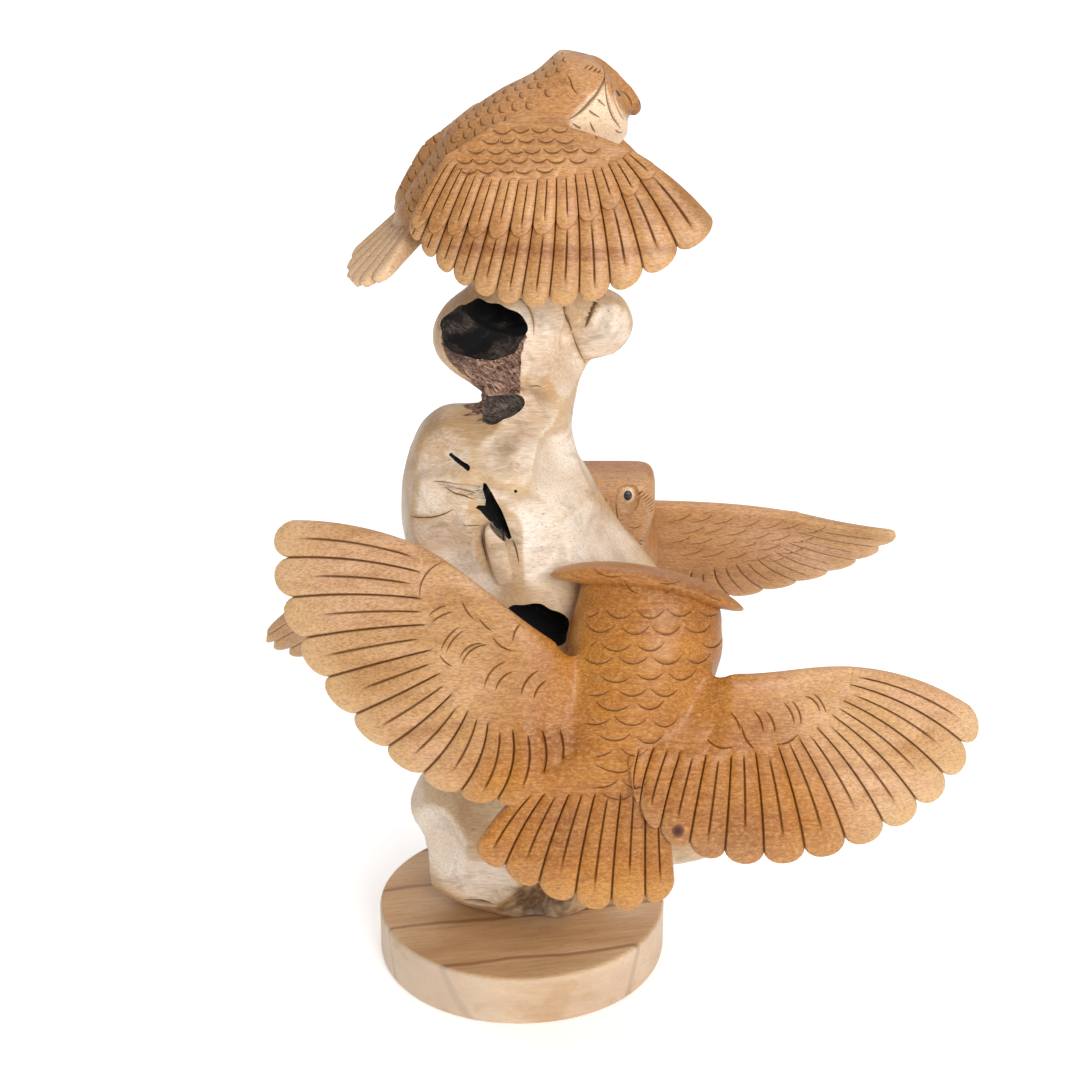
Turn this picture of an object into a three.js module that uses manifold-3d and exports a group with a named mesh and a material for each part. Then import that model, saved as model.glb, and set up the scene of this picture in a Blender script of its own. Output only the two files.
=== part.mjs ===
// Three owls carved in the round from one gnarled piece of root wood, on a round wooden plinth.
// Millimetres, +Z up, +X to the right and +Y away from the front; the origin is the centre of the plinth's underside.
// The root with its owls is one solid, because it is one piece of wood. The plinth is the other.
import * as THREE from "three";
import { mergeVertices } from "three/addons/utils/BufferGeometryUtils.js";
import Module from "manifold-3d";

const wasm = await Module();
wasm.setup();

// Driving dimensions
const PLINTH_RADIUS = 79;
const PLINTH_HEIGHT = 29;
const PLINTH_EDGE = 2; // rounding of the plinth's rims
const SEAT_GAP = 0.3; // the glue line between the root and the plinth
const STANDS_FORWARD = 7; // the root stands this far forward of the plinth's centre
const ROOT_TOP = 432;

const vec = (x, y, z) => new THREE.Vector3(x, y, z);
const mix = THREE.MathUtils.lerp;
const rad = THREE.MathUtils.degToRad;
const clamp = THREE.MathUtils.clamp;
const smooth = THREE.MathUtils.smoothstep;

// Moves every vertex of a unit primitive to where shape(x, y, z) puts it.
function warp(geometry, shape) {
  const place = geometry.attributes.position;
  for (let i = 0; i < place.count; i++) {
    const to = shape(place.getX(i), place.getY(i), place.getZ(i));
    place.setXYZ(i, to.x, to.y, to.z);
  }
  return geometry;
}

// A closed geometry as a solid with its faces out, also where the warp has mirrored it.
function solid(geometry) {
  const bare = geometry.clone();
  bare.deleteAttribute("normal");
  bare.deleteAttribute("uv");
  const merged = mergeVertices(bare, 1e-3);
  const place = merged.attributes.position;
  const corners = merged.index.array;
  let volume = 0;
  const [a, b, c] = [vec(), vec(), vec()];
  for (let i = 0; i < corners.length; i += 3) {
    a.fromBufferAttribute(place, corners[i]);
    b.fromBufferAttribute(place, corners[i + 1]);
    c.fromBufferAttribute(place, corners[i + 2]);
    volume += a.dot(b.cross(c));
  }
  const triVerts = [];
  for (let i = 0; i < corners.length; i += 3) {
    const [p, q, r] = [corners[i], corners[i + 1], corners[i + 2]];
    if (p === q || q === r || p === r) continue;
    triVerts.push(...(volume < 0 ? [p, r, q] : [p, q, r]));
  }
  return new wasm.Manifold(
    new wasm.Mesh({
      numProp: 3,
      vertProperties: new Float32Array(place.array),
      triVerts: new Uint32Array(triVerts),
    }),
  );
}

function geometryOf(made) {
  const mesh = made.getMesh();
  const geometry = new THREE.BufferGeometry();
  geometry.setAttribute("position", new THREE.BufferAttribute(new Float32Array(mesh.vertProperties), 3));
  geometry.setIndex(new THREE.BufferAttribute(new Uint32Array(mesh.triVerts), 1));
  geometry.computeVertexNormals();
  return geometry;
}

// The root: swellings of the wood, each an ellipsoid with its centre and its half sizes, flowing into each other
const SWELLINGS = [
  { centre: [12, 14, 44], half: [34, 30, 34] }, // foot
  { centre: [-21, 2, 79], half: [41, 36, 47] }, // lower left bulge
  { centre: [75, 4, 86], half: [50, 32, 28] }, // lower right bulge
  { centre: [13, 12, 120], half: [38, 42, 72] }, // core
  { centre: [7, 10, 198], half: [62, 44, 66] }, // waist
  { centre: [-36, 4, 267], half: [24, 42, 48] }, // left shoulder
  { centre: [11, 4, 229], half: [35, 44, 65] }, // right shoulder
  { centre: [57, -10, 172], half: [33, 46, 58] }, // limb behind the front owl
  { centre: [-5, -6, 293], half: [22, 28, 19] }, // peak of the shoulders
  { centre: [7, 4, 336], half: [19, 20, 40] }, // neck
  { centre: [-15, 4, 356], half: [27, 28, 20] }, // rim of the hollow
  { centre: [6, 4, 370], half: [26, 27, 35] }, // crown under the top owl
  { centre: [6, 2, 413], half: [17, 18, 18] }, // perch
  { centre: [43, 2, 362], half: [12, 18, 14] }, // knob on the right
];
const SWELLING_BLEND = 7;
const SPINE = [
  [30, 12, 14],
  [90, 12, 8],
  [180, 6, 8],
  [262, 0, 2],
  [322, 8, 0],
  [372, 8, 4],
  [400, 6, 2],
  [432, 6, 2],
]; // height, x and y of the line that the root is drawn around
const ROOT_AROUND = 23;
const ROOT_RINGS = 26;
const ROOT_REACH = 125;

function along(stations, z) {
  let k = 1;
  while (k < stations.length - 1 && stations[k][0] < z) k++;
  const [low, high] = [stations[k - 1], stations[k]];
  const share = smooth(z, low[0], high[0]);
  return low.map((value, i) => mix(value, high[i], share));
}

// Below zero inside the wood, in about a millimetre for each unit.
function rootField(x, y, z) {
  let sum = 0;
  for (const { centre, half } of SWELLINGS) {
    const size = Math.min(...half);
    const reach = Math.hypot((x - centre[0]) / half[0], (y - centre[1]) / half[1], (z - centre[2]) / half[2]);
    sum += Math.exp(-((reach - 1) * size) / SWELLING_BLEND);
  }
  return -SWELLING_BLEND * Math.log(sum);
}

function root() {
  const geometry = new THREE.CylinderGeometry(1, 1, 1, ROOT_AROUND, ROOT_RINGS);
  return solid(
    warp(geometry, (x, y, z) => {
      const height = mix(PLINTH_HEIGHT + SEAT_GAP, ROOT_TOP, y + 0.5);
      const [, cx, cy] = along(SPINE, height);
      const out = Math.hypot(x, z);
      if (out < 0.5) return vec(cx, cy, height);
      const [dx, dy] = [x / out, z / out];
      let [near, far] = [0, ROOT_REACH];
      for (let i = 0; i < 24; i++) {
        const middle = (near + far) / 2;
        if (rootField(cx + dx * middle, cy + dy * middle, height) < 0) near = middle;
        else far = middle;
      }
      return vec(cx + dx * near, cy + dy * near, height);
    }),
  );
}

// Rotted hollows that were left in the wood
const HOLLOWS = [
  { centre: [-10, -20, 369], half: [17, 34, 10.5], turn: [6, 3, -8] }, // cave under the top owl
  { centre: [-16, -32, 350], half: [12, 8, 20], turn: [0, -18, 0] }, // slope that rot has eaten out below it
  { centre: [-10, -17, 323.5], half: [12.5, 12, 6], turn: [0, -18, 0] }, // pocket behind the shoulders
  { centre: [10, -44, 219], half: [20, 30, 13], turn: [0, 12, 0] }, // hole over the front owl's wing
];

// Open drying cracks in the front of the left shoulder, by x and height, and how far back they reach
const CRACKS = [
  [[-17, 292], [-13, 285], [-9, 277], [-4, 261], [-8, 262], [-16, 271], [-22.5, 279.5], [-17, 280]], // cleft
  [[-37, 304.6], [-33, 303.4], [-22.8, 299.2], [-24.3, 296.6], [-32.6, 300.4]], // slot above the cleft
];
const CRACK_FROM = -70;
const CRACK_TO = -23;

function ellipsoid(centre, half, turn, across = 10, up = 6) {
  const placed = new THREE.Matrix4().compose(
    vec(...centre),
    new THREE.Quaternion().setFromEuler(new THREE.Euler(...turn.map(rad))),
    vec(...half),
  );
  return solid(new THREE.SphereGeometry(1, across, up).applyMatrix4(placed));
}

function crack(outline) {
  const shape = new THREE.Shape(outline.map((p) => new THREE.Vector2(...p)));
  const prism = new THREE.ExtrudeGeometry(shape, { depth: CRACK_TO - CRACK_FROM, bevelEnabled: false });
  return solid(prism.rotateX(Math.PI / 2).translate(0, CRACK_TO, 0));
}

// A wing or a tail is a fan of feathers on a sheet. It starts at the lead curve, which runs out from the shoulder,
// crosses the coverts to the roots curve, and ends at the curve of the feather tips. The last two run from the
// outermost feather to the innermost. Bow is how far the outermost and the innermost feather bend sideways.
const FEATHER_COLUMNS = [0, 0.3, 0.7];
const SHEET_ROWS = [-1, -0.3, 0.4, 0.84, 1];

const cubic = (points) => new THREE.CubicBezierCurve(...points.map((p) => new THREE.Vector2(...p)));

function fan(plan) {
  const [lead, roots, tips] = [plan.lead, plan.roots, plan.tips].map(cubic);
  const columns = [];
  for (let i = 0; i < plan.feathers; i++) columns.push(...FEATHER_COLUMNS.map((f) => i + f));
  columns.push(plan.feathers);
  const sheet = new THREE.BoxGeometry(1, 1, 1, columns.length - 1, SHEET_ROWS.length - 1, 1);
  return warp(sheet, (x, y, z) => {
    const place = columns[Math.round((x + 0.5) * (columns.length - 1))];
    const row = SHEET_ROWS[Math.round((0.5 - y) * (SHEET_ROWS.length - 1))];
    const t = place / plan.feathers;
    const across = 2 * (place - Math.floor(place)) - 1;
    const root = roots.getPoint(t);
    const tip = tips.getPoint(t);
    const length = Math.max(row, 0) * (1 - plan.notch * Math.abs(across) ** 3);
    const at = row < 0 ? root.clone().lerp(lead.getPoint(1 - t), -row) : root.clone().lerp(tip, length);
    const side = new THREE.Vector2(root.y - tip.y, tip.x - root.x).normalize();
    at.addScaledVector(side, mix(...plan.bow, t) * 4 * length * (1 - length));
    const [front, middle, end] = plan.thick;
    const thickness = row < 0 ? mix(middle, front, -row * smooth(t, 0, 0.3)) : mix(middle, end, length);
    const ridge = plan.ridge * (1 - across * across) * smooth(row, -0.4, 0.3);
    const face = z > 0 ? thickness / 2 + ridge : -thickness / 2 - 0.4 * ridge;
    return vec(at.x, at.y, plan.dish(at.x, at.y) + face);
  });
}

// The body of an owl from the rump to the crown of its head. Each station: how far along the back, how far across,
// the height of its centre, half width and half depth
function torso(stations, around = 12) {
  const middle = new THREE.CatmullRomCurve3(stations.map(([along, across, height]) => vec(across, along, height)));
  const girth = new THREE.CatmullRomCurve3(stations.map(([, , , width, depth]) => vec(width, depth, 0)));
  return warp(new THREE.SphereGeometry(1, around, stations.length + 3), (x, y, z) => {
    const share = Math.acos(clamp(-y, -1, 1)) / Math.PI;
    const at = middle.getPoint(share);
    const size = girth.getPoint(share);
    const out = Math.hypot(x, z);
    return out < 1e-6 ? at : at.add(vec((x / out) * size.x, 0, (z / out) * size.y));
  });
}

// The flat crown of an owl's head, a bar that runs out into an ear tuft at each end
function brow({ left, right, rise, depth, thick, height }) {
  return warp(new THREE.SphereGeometry(1, 8, 8).rotateZ(Math.PI / 2), (x, y, z) => {
    const share = (x + 1) / 2;
    const at = vec(mix(left[0], right[0], share), mix(left[1], right[1], share), height);
    const full = (1 - Math.abs(x) ** 3) ** 0.6 / Math.max(Math.sqrt(1 - x * x), 0.05);
    return at.add(vec(0, rise * (1 - x * x) + y * thick * full, z * depth * full));
  });
}

// A head with a flat crown and a flat face: a block with rounded edges that narrows to the chin
function block({ half: [wide, high, deep], round, chin }) {
  return warp(new THREE.SphereGeometry(1, 14, 8), (x, y, z) => {
    const [across, up, out] = [x, y, z].map((v, i) => Math.sign(v) * Math.abs(v) ** round[i]);
    return vec(across * wide * (1 - chin * smooth(-up, 0, 1)), up * high, out * deep);
  });
}

// A round swelling of a head or a beak in the owl's own frame
function knob({ at, half, turn = [0, 0, 0], across = 12, up = 8 }) {
  const spin = new THREE.Quaternion().setFromEuler(new THREE.Euler(...turn.map(rad)));
  return new THREE.SphereGeometry(1, across, up).applyMatrix4(
    new THREE.Matrix4().compose(vec(...at), spin, vec(...half)),
  );
}

// An owl's frame has x across, y up the back and z out of the back. It is stood up facing away from the front,
// tilted back, turned about the vertical and set in place.
function placed(geometry, { at, tilt, turn = 0 }) {
  const stand = new THREE.Matrix4().makeRotationX(rad(90 - tilt));
  const spin = new THREE.Matrix4().makeRotationZ(rad(turn));
  return solid(geometry.clone().applyMatrix4(spin.multiply(stand)).translate(...at));
}

// Front owl: seen from behind, wings wide open, belly against the root
const FRONT_FRAME = { at: [60, -86, 202], tilt: 21 };
const FRONT_WING = {
  notch: 0.1,
  ridge: 1.1,
  thick: [10, 7, 3.5],
  dish: (x, y) => -22 * ((x + 10) / 150) ** 2 - 4 * Math.max(0, -y / 100) ** 2,
};
const FRONT_LEFT_WING = {
  ...FRONT_WING,
  dish: (x, y) => FRONT_WING.dish(x, y) - 9 * smooth(x, -52, -28),
  feathers: 11,
  lead: [[-33, 20], [-60, 34], [-81, 58], [-108, 72]],
  roots: [[-108, 72], [-110, 27], [-99, -32], [-32, -14]],
  tips: [[-179, 84], [-201, 18], [-89, -87], [-42, -43]],
  bow: [-4, 6],
};
const FRONT_RIGHT_WING = {
  ...FRONT_WING,
  dish: (x, y) => FRONT_WING.dish(x, y) - 10 * smooth(-x, -44, -24) * smooth(y, -34, -6),
  feathers: 12,
  lead: [[27, 13], [52, 6], [77, 15], [102, 13]],
  roots: [[102, 13], [103, -22], [39, -43], [-6, -18]],
  tips: [[169, -12], [162, -90], [-3, -110], [-6, -39]],
  bow: [5, -2],
};
const FRONT_TAIL = {
  feathers: 6,
  lead: [[6, -34], [-12, -25], [-32, -25], [-44, -34]],
  roots: [[-58, -46], [-38, -50], [-8, -41], [12, -52]],
  tips: [[-83, -77], [-57, -98], [-10, -119], [16, -96]],
  bow: [-2, 0],
  notch: 0.1,
  ridge: 1.2,
  thick: [16, 10, 4],
  dish: (x, y) => -7 - 3 * Math.max(0, (-y - 40) / 60),
};
const FRONT_BODY = [
  [-58, -19, -18, 5, 4],
  [-46, -17, -18, 22, 13],
  [-26, -11, -20, 30, 22],
  [-4, -4, -24, 37, 28],
  [18, 1, -24, 38.5, 28],
  [40, 3, -24, 36, 25],
  [53, 3, -22, 33, 20],
  [61, 2, -21, 26, 19],
  [64, 2, -21, 6, 5],
];
const FRONT_BROW = { left: [-45, 57.5], right: [50, 40.5], rise: 6.5, depth: 22.5, thick: 6.4, height: -20 };
const frontOwl = [
  fan(FRONT_LEFT_WING),
  fan(FRONT_RIGHT_WING),
  fan(FRONT_TAIL),
  torso(FRONT_BODY),
  brow(FRONT_BROW),
].map((form) => placed(form, FRONT_FRAME));

// Back owl: the same kind of bird on the far side, its face looking past the root to the front
const BACK_FRAME = { at: [46, 78, 222], tilt: 24, turn: 180 };
const BACK_WING = { ...FRONT_WING, dish: (x) => -20 * (x / 150) ** 2 };
const BACK_LEFT_WING = {
  ...BACK_WING,
  feathers: 11,
  lead: [[3, 20], [-33, 19], [-69, 22], [-105, 19]],
  roots: [[-105, 19], [-108, -17], [-34, -45], [-6, -30]],
  tips: [[-157, 20], [-142, -28], [-27, -90], [2, -49]],
  bow: [2, 3],
};
const BACK_RIGHT_WING = {
  ...BACK_WING,
  feathers: 11,
  lead: [[14, 12], [62, 14], [105, -11], [142, -30]],
  roots: [[142, -30], [140, -66], [64, -84], [12, -46]],
  tips: [[185, -49], [212, -64], [108, -142], [26, -86]],
  bow: [6, -1],
};
const BACK_TAIL = {
  ...FRONT_TAIL,
  lead: [[20, -26], [8, -22], [-6, -22], [-18, -26]],
  roots: [[-24, -38], [-8, -44], [10, -44], [24, -38]],
  tips: [[-40, -78], [-16, -100], [16, -100], [40, -78]],
  bow: [-2, 2],
};
const BACK_BODY = [
  [-54, 3, -16, 5, 4],
  [-42, 3, -18, 19, 13],
  [-20, 3, -22, 27, 22],
  [5, 3, -25, 31, 26],
  [26, 3, -25, 28, 25],
  [38, 3, -25, 26, 22],
  [48, 3, -25, 20, 17],
  [54, 3, -25, 5, 4],
];
const BACK_HEAD_FRAME = { at: [45, 39, 250.5], tilt: 0, turn: 180 };
const BACK_HEAD = { half: [25.5, 23, 18], round: [0.4, 0.4, 0.75], chin: 0.2 };
const BACK_BEAK = { at: [0, 0, -17.5], half: [3.6, 13, 5.5], turn: [8, 0, 0], across: 6, up: 4 };
const backOwl = [
  ...[fan(BACK_LEFT_WING), fan(BACK_RIGHT_WING), fan(BACK_TAIL), torso(BACK_BODY)].map((form) =>
    placed(form, BACK_FRAME),
  ),
  ...[block(BACK_HEAD), knob(BACK_BEAK)].map((form) => placed(form, BACK_HEAD_FRAME)),
];

// Top owl: perched on the crown with its head to the right and its wings hanging like a cape
const TOP_FRAME = { at: [-10, 0, 450], tilt: 51, turn: -90 };
const TOP_BODY = [
  [-64, 0, 2, 4, 3],
  [-50, 0, 1, 18, 9],
  [-30, 0, -4, 25, 20],
  [-8, 0, -6, 29, 28],
  [16, 0, -8, 28, 28],
  [36, 0, -10, 25, 26],
  [50, 0, -9, 24, 25.5],
  [57, 0, -9, 20.5, 19],
  [61.5, 0, -8, 14, 12],
  [63.2, 0, -8, 3, 3],
];
const TOP_FACE = { at: [0, 52, -14], half: [17, 10, 15], turn: [-6, 0, 0], across: 10, up: 6 };
const TOP_KEEL = { at: [0, 58.5, -10], half: [5, 7, 16], turn: [-4, 0, 0], across: 8, up: 6 };
const TOP_BEAK = [
  [-3, 0, 57, 1.5, 2.5],
  [6, 0, 57, 3.4, 8.2],
  [17, 0, 58.5, 4.8, 8.2],
  [26, 0, 61, 3.4, 4.4],
  [30.4, 0, 60.5, 0.4, 0.6],
]; // down the face instead of up the back, the middle out of the face
const TOP_TAIL_FRAME = { at: [-50, -2, 414], tilt: 50, turn: -70 };
const TOP_TAIL = {
  feathers: 6,
  lead: [[10, 26], [3, 27], [-3, 27], [-10, 26]],
  roots: [[-14, 2], [-5, -2], [5, -2], [14, 0]],
  tips: [[-24, -28], [-14, -46], [14, -48], [25, -28]],
  bow: [0, 0],
  notch: 0.12,
  ridge: 1.1,
  thick: [14, 9, 4],
  dish: () => 0,
};
const TOP_WING_FRAME = { at: [19, -30, 454], tilt: 20 };
const TOP_WING = {
  feathers: 12,
  lead: [[-27, 14], [-6, 15], [15, 9], [34, 0]],
  roots: [[34, 0], [16, -14], [-37, -22], [-52, -1]],
  tips: [[74, -34], [2, -98], [-52, -68], [-71, -34]],
  bow: [2.5, -1],
  notch: 0.1,
  ridge: 1.1,
  thick: [9, 7, 3.5],
  dish: (x) => (x < 0 ? -10 : -5) * (x / 70) ** 2,
};
const FAR_WING_TURN = 26; // the far wing is held further back than the near one
const nearWing = placed(fan(TOP_WING), TOP_WING_FRAME);
const topOwl = [
  nearWing,
  nearWing.scale([1, -1, 1]).rotate([0, 0, FAR_WING_TURN]),
  placed(fan(TOP_TAIL), TOP_TAIL_FRAME),
  ...[torso(TOP_BODY), knob(TOP_FACE), knob(TOP_KEEL), warp(torso(TOP_BEAK, 8), (x, y, z) => vec(x, z, -y))].map(
    (form) => placed(form, TOP_FRAME),
  ),
];

const carved = wasm.Manifold.union([root(), ...frontOwl, ...backOwl, ...topOwl]);
const hollows = HOLLOWS.map(({ centre, half, turn }) => ellipsoid(centre, half, turn));
const cavities = wasm.Manifold.union([...hollows, ...CRACKS.map(crack)]);
const carving = carved.subtract(cavities).translate([0, -STANDS_FORWARD, 0]);

// Plinth: a turned disc with softly rounded rims
function plinth() {
  const shape = new THREE.Path();
  shape.moveTo(0, 0);
  shape.lineTo(PLINTH_RADIUS - PLINTH_EDGE, 0);
  shape.lineTo(PLINTH_RADIUS, PLINTH_EDGE);
  shape.lineTo(PLINTH_RADIUS, PLINTH_HEIGHT - PLINTH_EDGE);
  shape.lineTo(PLINTH_RADIUS - PLINTH_EDGE, PLINTH_HEIGHT);
  shape.lineTo(0, PLINTH_HEIGHT);
  return new THREE.LatheGeometry(shape.getPoints(), 32).rotateX(Math.PI / 2);
}

const object = new THREE.Group();
const rootWood = new THREE.MeshStandardMaterial({ color: 0xc99a62, roughness: 0.6, metalness: 0 });
const plinthWood = new THREE.MeshStandardMaterial({ color: 0xb98a57, roughness: 0.6, metalness: 0 });
const carvingMesh = new THREE.Mesh(geometryOf(carving), rootWood);
carvingMesh.name = "owl_carving";
const plinthMesh = new THREE.Mesh(geometryOf(solid(plinth())), plinthWood);
plinthMesh.name = "plinth";
object.add(carvingMesh, plinthMesh);

export default object;
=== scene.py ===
"""Three owls carved in the round from one gnarled piece of root wood, on a round wooden plinth.
Metres, +Z up, in the CAD part's frame. Sizes are written in millimetres and turned to metres where a mesh is made.
"""

import math

import bpy
import numpy as np
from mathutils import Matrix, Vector, noise
from mathutils.bvhtree import BVHTree
from mathutils.kdtree import KDTree


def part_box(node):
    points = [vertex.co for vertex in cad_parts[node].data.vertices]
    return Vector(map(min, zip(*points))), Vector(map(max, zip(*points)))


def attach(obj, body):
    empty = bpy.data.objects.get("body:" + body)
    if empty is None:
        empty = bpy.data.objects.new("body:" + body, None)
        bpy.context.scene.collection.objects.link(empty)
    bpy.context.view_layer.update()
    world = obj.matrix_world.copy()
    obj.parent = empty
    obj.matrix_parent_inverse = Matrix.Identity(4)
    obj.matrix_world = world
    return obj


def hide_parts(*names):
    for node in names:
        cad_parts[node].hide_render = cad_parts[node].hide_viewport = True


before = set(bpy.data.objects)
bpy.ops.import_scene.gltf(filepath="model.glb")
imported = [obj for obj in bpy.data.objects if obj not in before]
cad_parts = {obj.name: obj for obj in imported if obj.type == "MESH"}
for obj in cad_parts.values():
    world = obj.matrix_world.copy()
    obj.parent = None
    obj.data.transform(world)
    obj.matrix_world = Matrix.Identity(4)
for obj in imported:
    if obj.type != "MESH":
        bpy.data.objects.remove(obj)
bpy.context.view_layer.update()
bpy.ops.object.select_all(action="DESELECT")
MM = 0.001

# Plinth: a round disc about 29 mm thick, cut across a plain-sawn plank and sanded smooth, its rims softly rounded.
# The plank's brown growth lines run over the top from left to right and down through the pale sides.
PLINTH_SIDES = 192
PLINTH_RIM = 2.4
PLINTH_UNEVEN = 0.5


def linear(colour):
    """An sRGB hex colour as the linear colour that a shader takes."""
    parts = [int(colour[i : i + 2], 16) / 255 for i in (0, 2, 4)]
    return [c / 12.92 if c <= 0.04045 else ((c + 0.055) / 1.055) ** 2.4 for c in parts] + [1.0]


def add_node(material, kind, inputs={}, **settings):
    """Adds one node. Each input takes a value, a hex colour or another node's output."""
    tree = material.node_tree
    node = tree.nodes.new(kind)
    for name, value in settings.items():
        setattr(node, name, value)
    for name, value in inputs.items():
        if isinstance(value, bpy.types.NodeSocket):
            tree.links.new(value, node.inputs[name])
        else:
            node.inputs[name].default_value = linear(value) if isinstance(value, str) else value
    return node


def new_material(name):
    """A bare material with its shader, ready for nodes."""
    material = bpy.data.materials.new(name)
    material.use_nodes = True
    return material, material.node_tree.nodes["Principled BSDF"]


def points_of(piece):
    """A mesh's vertices as rows of x, y and z."""
    flat = np.empty(3 * len(piece.data.vertices))
    piece.data.vertices.foreach_get("co", flat)
    return flat.reshape(-1, 3)


def reshape(piece, shape):
    """Moves each vertex of a primitive to where shape(x, y, z) puts it, in millimetres."""
    moved = np.column_stack(shape(*points_of(piece).T))
    piece.data.vertices.foreach_set("co", (moved * MM).ravel())
    piece.data.update()
    return piece


def edit(piece, *steps):
    """Runs edit mode operators on the whole piece."""
    bpy.ops.object.select_all(action="DESELECT")
    bpy.context.view_layer.objects.active = piece
    piece.select_set(True)
    bpy.ops.object.mode_set(mode="EDIT")
    bpy.ops.mesh.select_all(action="SELECT")
    for step in steps:
        step()
    bpy.ops.object.mode_set(mode="OBJECT")
    piece.select_set(False)


def apply_modifier(piece, kind, **settings):
    """Adds one modifier and applies it."""
    bpy.context.view_layer.objects.active = piece
    modifier = piece.modifiers.new(kind.title(), kind)
    for name, value in settings.items():
        setattr(modifier, name, value)
    bpy.ops.object.modifier_apply(modifier=modifier.name)


plinth_low, plinth_high = (np.array(corner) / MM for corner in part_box("plinth"))
plinth_radius = (plinth_high[0] - plinth_low[0]) / 2
plinth_height = plinth_high[2] - plinth_low[2]
bpy.ops.mesh.primitive_cylinder_add(vertices=PLINTH_SIDES, radius=plinth_radius * MM, depth=plinth_height * MM)
plinth = bpy.context.object
plinth.name = "round_plinth"
apply_modifier(plinth, "BEVEL", width=PLINTH_RIM * MM, segments=4, limit_method="ANGLE")


def sand_by_hand(x, y, z):
    """The disc's wall wanders a little inwards, as hand sanding leaves it."""
    x, y, z = x / MM, y / MM, z / MM
    angle = np.arctan2(y, x)
    inwards = PLINTH_UNEVEN * (np.sin(2 * angle + 0.6) + np.sin(5 * angle) * 0.4 - 1.4) / plinth_radius
    return x * (1 + inwards), y * (1 + inwards), z + plinth_height / 2


reshape(plinth, sand_by_hand)
edit(plinth, lambda: bpy.ops.mesh.normals_make_consistent(inside=False))
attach(plinth, "root")
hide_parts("plinth")

# Root: one gnarled piece of pale sapwood with its bark off, swelling into bulges at the foot and thinning to a neck.
# It is scraped and sanded smooth, and it is drawn as swellings that flow into each other.
SWELLINGS = [
    ((12, 14, 44), (34, 30, 34)),  # foot
    ((-21, 2, 79), (41, 36, 47)),  # lower left bulge
    ((75, 4, 86), (50, 32, 28)),  # lower right bulge
    ((13, 12, 120), (38, 42, 72)),  # core
    ((7, 10, 198), (62, 44, 66)),  # waist
    ((-36, 4, 267), (24, 42, 48)),  # left shoulder
    ((11, 4, 229), (35, 44, 65)),  # right shoulder
    ((57, -10, 172), (33, 46, 58)),  # limb behind the front owl
    ((-5, -6, 293), (22, 28, 19)),  # peak of the shoulders
    ((7, 4, 336), (19, 20, 40)),  # neck
    ((-15, 4, 356), (27, 28, 20)),  # rim of the hollow
    ((6, 4, 370), (26, 27, 35)),  # crown under the top owl
    ((6, 2, 413), (17, 18, 18)),  # perch
    ((43, 2, 362), (12, 18, 14)),  # knob on the right
]
SWELLING_BLEND = 7
SPINE = np.array([
    (30, 12, 14),
    (90, 12, 8),
    (180, 6, 8),
    (262, 0, 2),
    (322, 8, 0),
    (372, 8, 4),
    (400, 6, 2),
    (432, 6, 2),
])  # height, x and y of the line that the root is drawn around
SEAT_GAP = 0.3
STANDS_FORWARD = 7
ROOT_TOP = 432
ROOT_AROUND = 132
ROOT_RINGS = 226
ROOT_CAP = 0.02
ROOT_CROWD = 0.42  # how much closer the mesh lies on the front, which the carver worked most
ROOT_REACH = 125
FLATS = (
    (22, -19, 290, -42, 24, 4.0),  # the bright facet beside the ridge
    (34, -24, 262, -38, 18, 3.5),
    (48, -14, 245, -30, 30, 3.0),
    (0, -24, 312, -84, 36, 3.5),
    (-42, -17, 309, -118, 34, 2.0),
    (-41, -34, 274, -112, 4, 3.0),
    (-16, -40, 268, -84, 6, 2.5),
    (6, -36, 262, -72, 14, 2.5),
    (-26, -34, 248, -110, -14, 3.0),
    (-43, -27, 86, -128, 0, 4.0),
    (-22, -33, 66, -96, -26, 4.0),
    (-52, 0, 70, 175, -12, 4.0),
    (2, -32, 100, -60, 12, 4.0),
    (46, -12, 372, -58, 12, 2.5),
    (50, -8, 356, -50, -25, 2.5),
    (12, -25, 362, -85, 0, 3.0),
    (22, -16, 345, -40, 0, 2.5),
    (-47, 20, 280, 140, 10, 3.0),
    (30, 40, 255, 60, 15, 3.0),
    (20, 50, 200, 85, 0, 3.0),
    (-30, 35, 110, 130, 0, 3.0),
)  # where an adze left the wood flat: a place, the way it faces (azimuth and elevation) and how deep it was shaved
FLAT_EDGE = 1.0
FLAT_REACH = 26
LUMPS = (
    (-17, 350, 19, 21, -20, -3.5),  # the slope that rot has eaten out below the cave
    (7, 43, 20, 17, 0, -7),  # recess in the foot under the tail
    (34, 368, 3, 17, 30, -2.5),  # crease between neck and knob
    (23, 366, 2.5, 14, 12, -1.8),  # crease in the neck
    (-29, 288, 13, 3.6, -10, -1.4),  # rough dents beside the cleft
    (-23, 275, 5, 4.5, 0, -1.6),
    (-34, 268, 8, 6, 0, -0.9),
    (-8, 300, 10, 12, 0, 1.4),
    (-20, 52, 9, 2.5, 8, -3.0),  # cleft in the foot
)  # raised or sunk patches on the front: x and z, half sizes, lean and rise


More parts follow.
